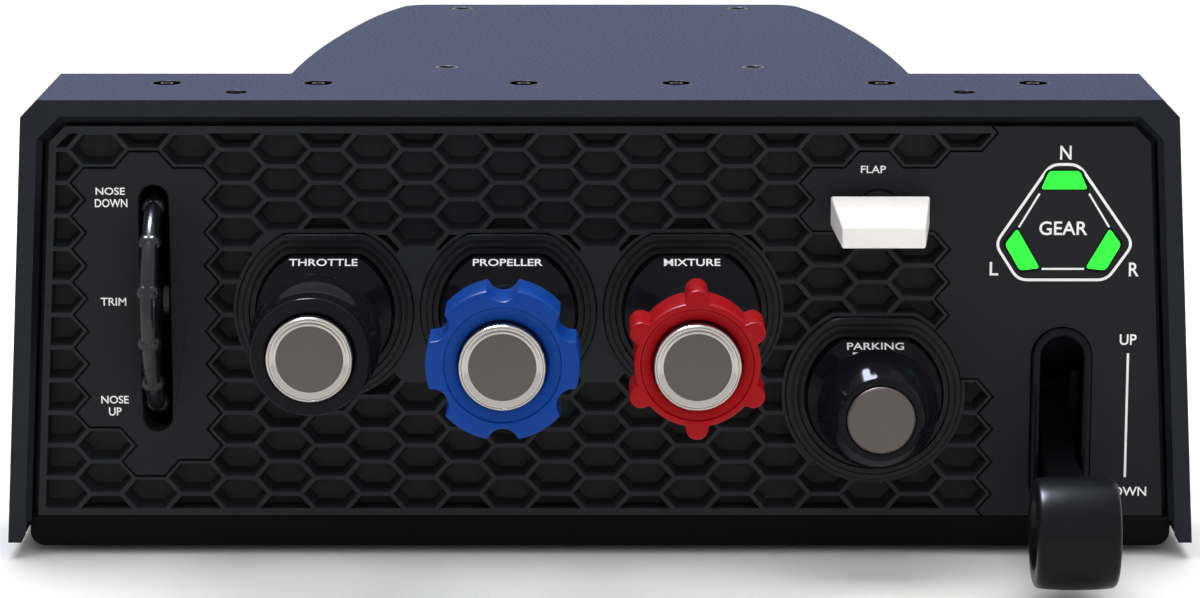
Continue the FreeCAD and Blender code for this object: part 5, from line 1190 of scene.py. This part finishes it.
@dataclass
class GearLever:
    """Gear lever: wheel grip, arm and slot rim."""

    tyre_round: float = 3.4 * MM
    arm_round: float = 1.4 * MM
    rim_round: float = 0.9 * MM
    arm_half: float = 4.35 * MM
    flare_steps: int = 24
    flare_points: int = 48
    flare_power: float = 2.6
    squareness: float = 0.55

    def build(self) -> None:
        """Make the three pieces."""
        mount(softened("gear_slot_rim", GLOSS_ABS, self.rim_round, 50, 4), "housing")
        mount(softened("gear_arm", SATIN_ABS, self.arm_round, 40, 4), "gear_lever")
        self.wheel()
        self.flare()

    def wheel(self) -> None:
        """Wheel grip with a hollow on each side."""
        low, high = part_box("gear_wheel")
        centre = Vector((low.x, (low.y + high.y) / 2, (low.z + high.z) / 2))
        radius, width = (high.z - low.z) / 2, high.x - low.x
        side = [
            (POLE, 1.9 * MM, 0), (4.0 * MM, 1.9 * MM, 0.4 * MM),
            (4.6 * MM, 1.3 * MM, 0.4 * MM),
            (6.3 * MM, 1.3 * MM, 0.8 * MM), (8.6 * MM, 0.25 * MM, 1.2 * MM),
            (9.8 * MM, 0.0, 0.6 * MM), (radius - 0.5 * MM, 0.0, self.tyre_round)]
        middle = [(radius, width * 0.3, 3 * MM), (radius, width * 0.7, 3 * MM)]
        profile = side + middle + [(r, width - d, k) for r, d, k in reversed(side)]
        dress(lathe("gear_wheel_look", profile, centre, SATIN_ABS, "x", 128), "gear_wheel",
              "gear_lever")

    def flare(self) -> None:
        """Part of the arm that widens towards the wheel, in front of the slot."""
        wheel_low, wheel_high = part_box("gear_wheel")
        rim_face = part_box("gear_slot_rim")[0].y
        arm_low, arm_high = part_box("gear_arm")
        across = (arm_low.x + arm_high.x) / 2
        hub = (wheel_low.z + wheel_high.z) / 2
        start, end = rim_face - 3.0 * MM, wheel_high.y - 5.0 * MM
        left_end = across - (wheel_low.x + 1.2 * MM)
        loops = []
        for k in range(self.flare_steps + 1):
            t = k / self.flare_steps
            ease = t ** self.flare_power
            y = start + (end - start) * t
            middle = hub + 2.2 * MM * (1 - t) + 0.6 * MM * ease
            left = self.arm_half + (left_end - self.arm_half) * ease
            right = self.arm_half + 1.4 * MM * ease
            tall = 4.05 * MM + 2.4 * MM * ease
            loop = []
            for i in range(self.flare_points):
                angle = math.tau * i / self.flare_points
                c, s = math.cos(angle), math.sin(angle)
                wide = right if c > 0 else left
                x = across + wide * math.copysign(abs(c) ** self.squareness, c)
                z = middle + tall * math.copysign(abs(s) ** self.squareness, s)
                loop.append(Vector((x, y, z)))
            loops.append(loop)
        mount(solid_of_loops("gear_arm_flare", loops, SATIN_ABS, 50), "gear_lever")


@dataclass
class Studio:
    """Plain studio: floor, lamps, surround and camera."""

    lens: float = 121.3
    distance: float = 988.2 * MM
    eye_height: float = 264.2 * MM
    pitch: float = math.radians(11.29)
    aim: tuple[float, float, float] = (0.0, 0.0, 50 * MM)

    def build(self) -> None:
        """Make the floor, the lights, the surround and the camera."""
        self.floor()
        self.lamps()
        self.surround()
        self.camera()

    def floor(self) -> None:
        """Pale matt floor that keeps the shadow."""
        shape = bmesh.new()
        bmesh.ops.create_grid(shape, x_segments=1, y_segments=1, size=6.0)
        mesh = bpy.data.meshes.new("floor")
        shape.to_mesh(mesh)
        shape.free()
        material = bpy.data.materials.new("pale_floor")
        tree = empty_tree(material)
        matt = add(tree, "ShaderNodeBsdfDiffuse", {"Color": linear("#f4f4f4")})
        add(tree, "ShaderNodeOutputMaterial", {"Surface": matt.outputs["BSDF"]})
        floor = new_object("floor", mesh)
        mesh.materials.append(material)

    def lamps(self) -> None:
        """Soft box overhead, a fill towards the front, and a strip that only gloss shows."""
        for name, place, size, power, tint, gloss_only in (
                ("soft_box", (0.0, 0.25, 1.5), 1.6, 31.0, "#ffffff", False),
                ("front_fill", (0.3, -1.6, 0.9), 1.2, 6.0, "#ffffff", False),
                ("left_strip", (-0.3, 0.12, 1.4), 0.5, 90.0, "#dfe6ff", True)):
            light = bpy.data.lights.new(name, "AREA")
            light.shape = "SQUARE"
            light.size = size
            light.energy = power
            light.color = linear(tint)[:3]
            lamp = new_object(name, light)
            lamp.visible_diffuse = not gloss_only
            lamp.visible_glossy = gloss_only
            lamp.location = place
            towards = Vector(self.aim) - Vector(place)
            lamp.rotation_euler = towards.to_track_quat("-Z", "Y").to_euler()

    def surround(self) -> None:
        """Even grey light, and plain white where the camera sees it."""
        world = bpy.data.worlds.new("surround")
        bpy.context.scene.world = world
        tree = empty_tree(world)
        path = add(tree, "ShaderNodeLightPath")
        seen = add(tree, "ShaderNodeMath", {
            0: path.outputs["Is Camera Ray"], 1: path.outputs["Is Glossy Ray"]},
            operation="MAXIMUM")
        seen = add(tree, "ShaderNodeMath", {
            0: seen.outputs[0], 1: path.outputs["Is Transmission Ray"]}, operation="MAXIMUM")
        soft = add(tree, "ShaderNodeBackground", {"Color": (1, 1, 1, 1), "Strength": 0.5})
        white = add(tree, "ShaderNodeBackground", {"Color": (1, 1, 1, 1), "Strength": 1.0})
        mix = add(tree, "ShaderNodeMixShader", {
            0: seen.outputs[0], 1: soft.outputs[0], 2: white.outputs[0]})
        add(tree, "ShaderNodeOutputWorld", {"Surface": mix.outputs[0]})

    def camera(self) -> None:
        """Camera at the viewing angle, without shift."""
        lens = bpy.data.cameras.new("camera")
        lens.lens = self.lens
        lens.sensor_width = 36.0
        lens.clip_end = 20.0
        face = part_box("top_cover")[0].y
        camera = new_object("camera", lens)
        camera.location = (0, face - self.distance, self.eye_height)
        camera.rotation_euler = (math.pi / 2 - self.pitch, 0, 0)
        bpy.context.scene.camera = camera


def finish_nodes() -> None:
    """Give every CAD node its material."""
    for finish, nodes in NODE_FINISHES.items():
        for node in nodes:
            mesh = frame["nodes"][node].data
            mesh.materials.clear()
            mesh.materials.append(finish.build())


def main() -> None:
    """Dress the frame, piece by piece."""
    logging.basicConfig(level=logging.INFO, format="%(message)s")
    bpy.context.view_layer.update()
    bpy.context.scene.view_settings.view_transform = "Standard"
    finish_nodes()
    Housing().build()
    controls = (
        Control("throttle", ("THROTTLE",), 17.0 * MM),
        Control("propeller", ("PROPELLER",), 17.3 * MM),
        Control("mixture", ("MIXTURE",), 14.0 * MM),
        Control("parking", ("PARKING", "BRAKE"), 14.2 * MM),
    )
    for control in controls:
        control.dress_mount()
    for control in controls[:3]:
        control.button(f"{control.name}_button")
    EngineKnobs().build()
    TrimWheel().build()
    SwitchPlate().build()
    GearLever().build()
    Studio().build()


if __name__ == "__main__":
    main()
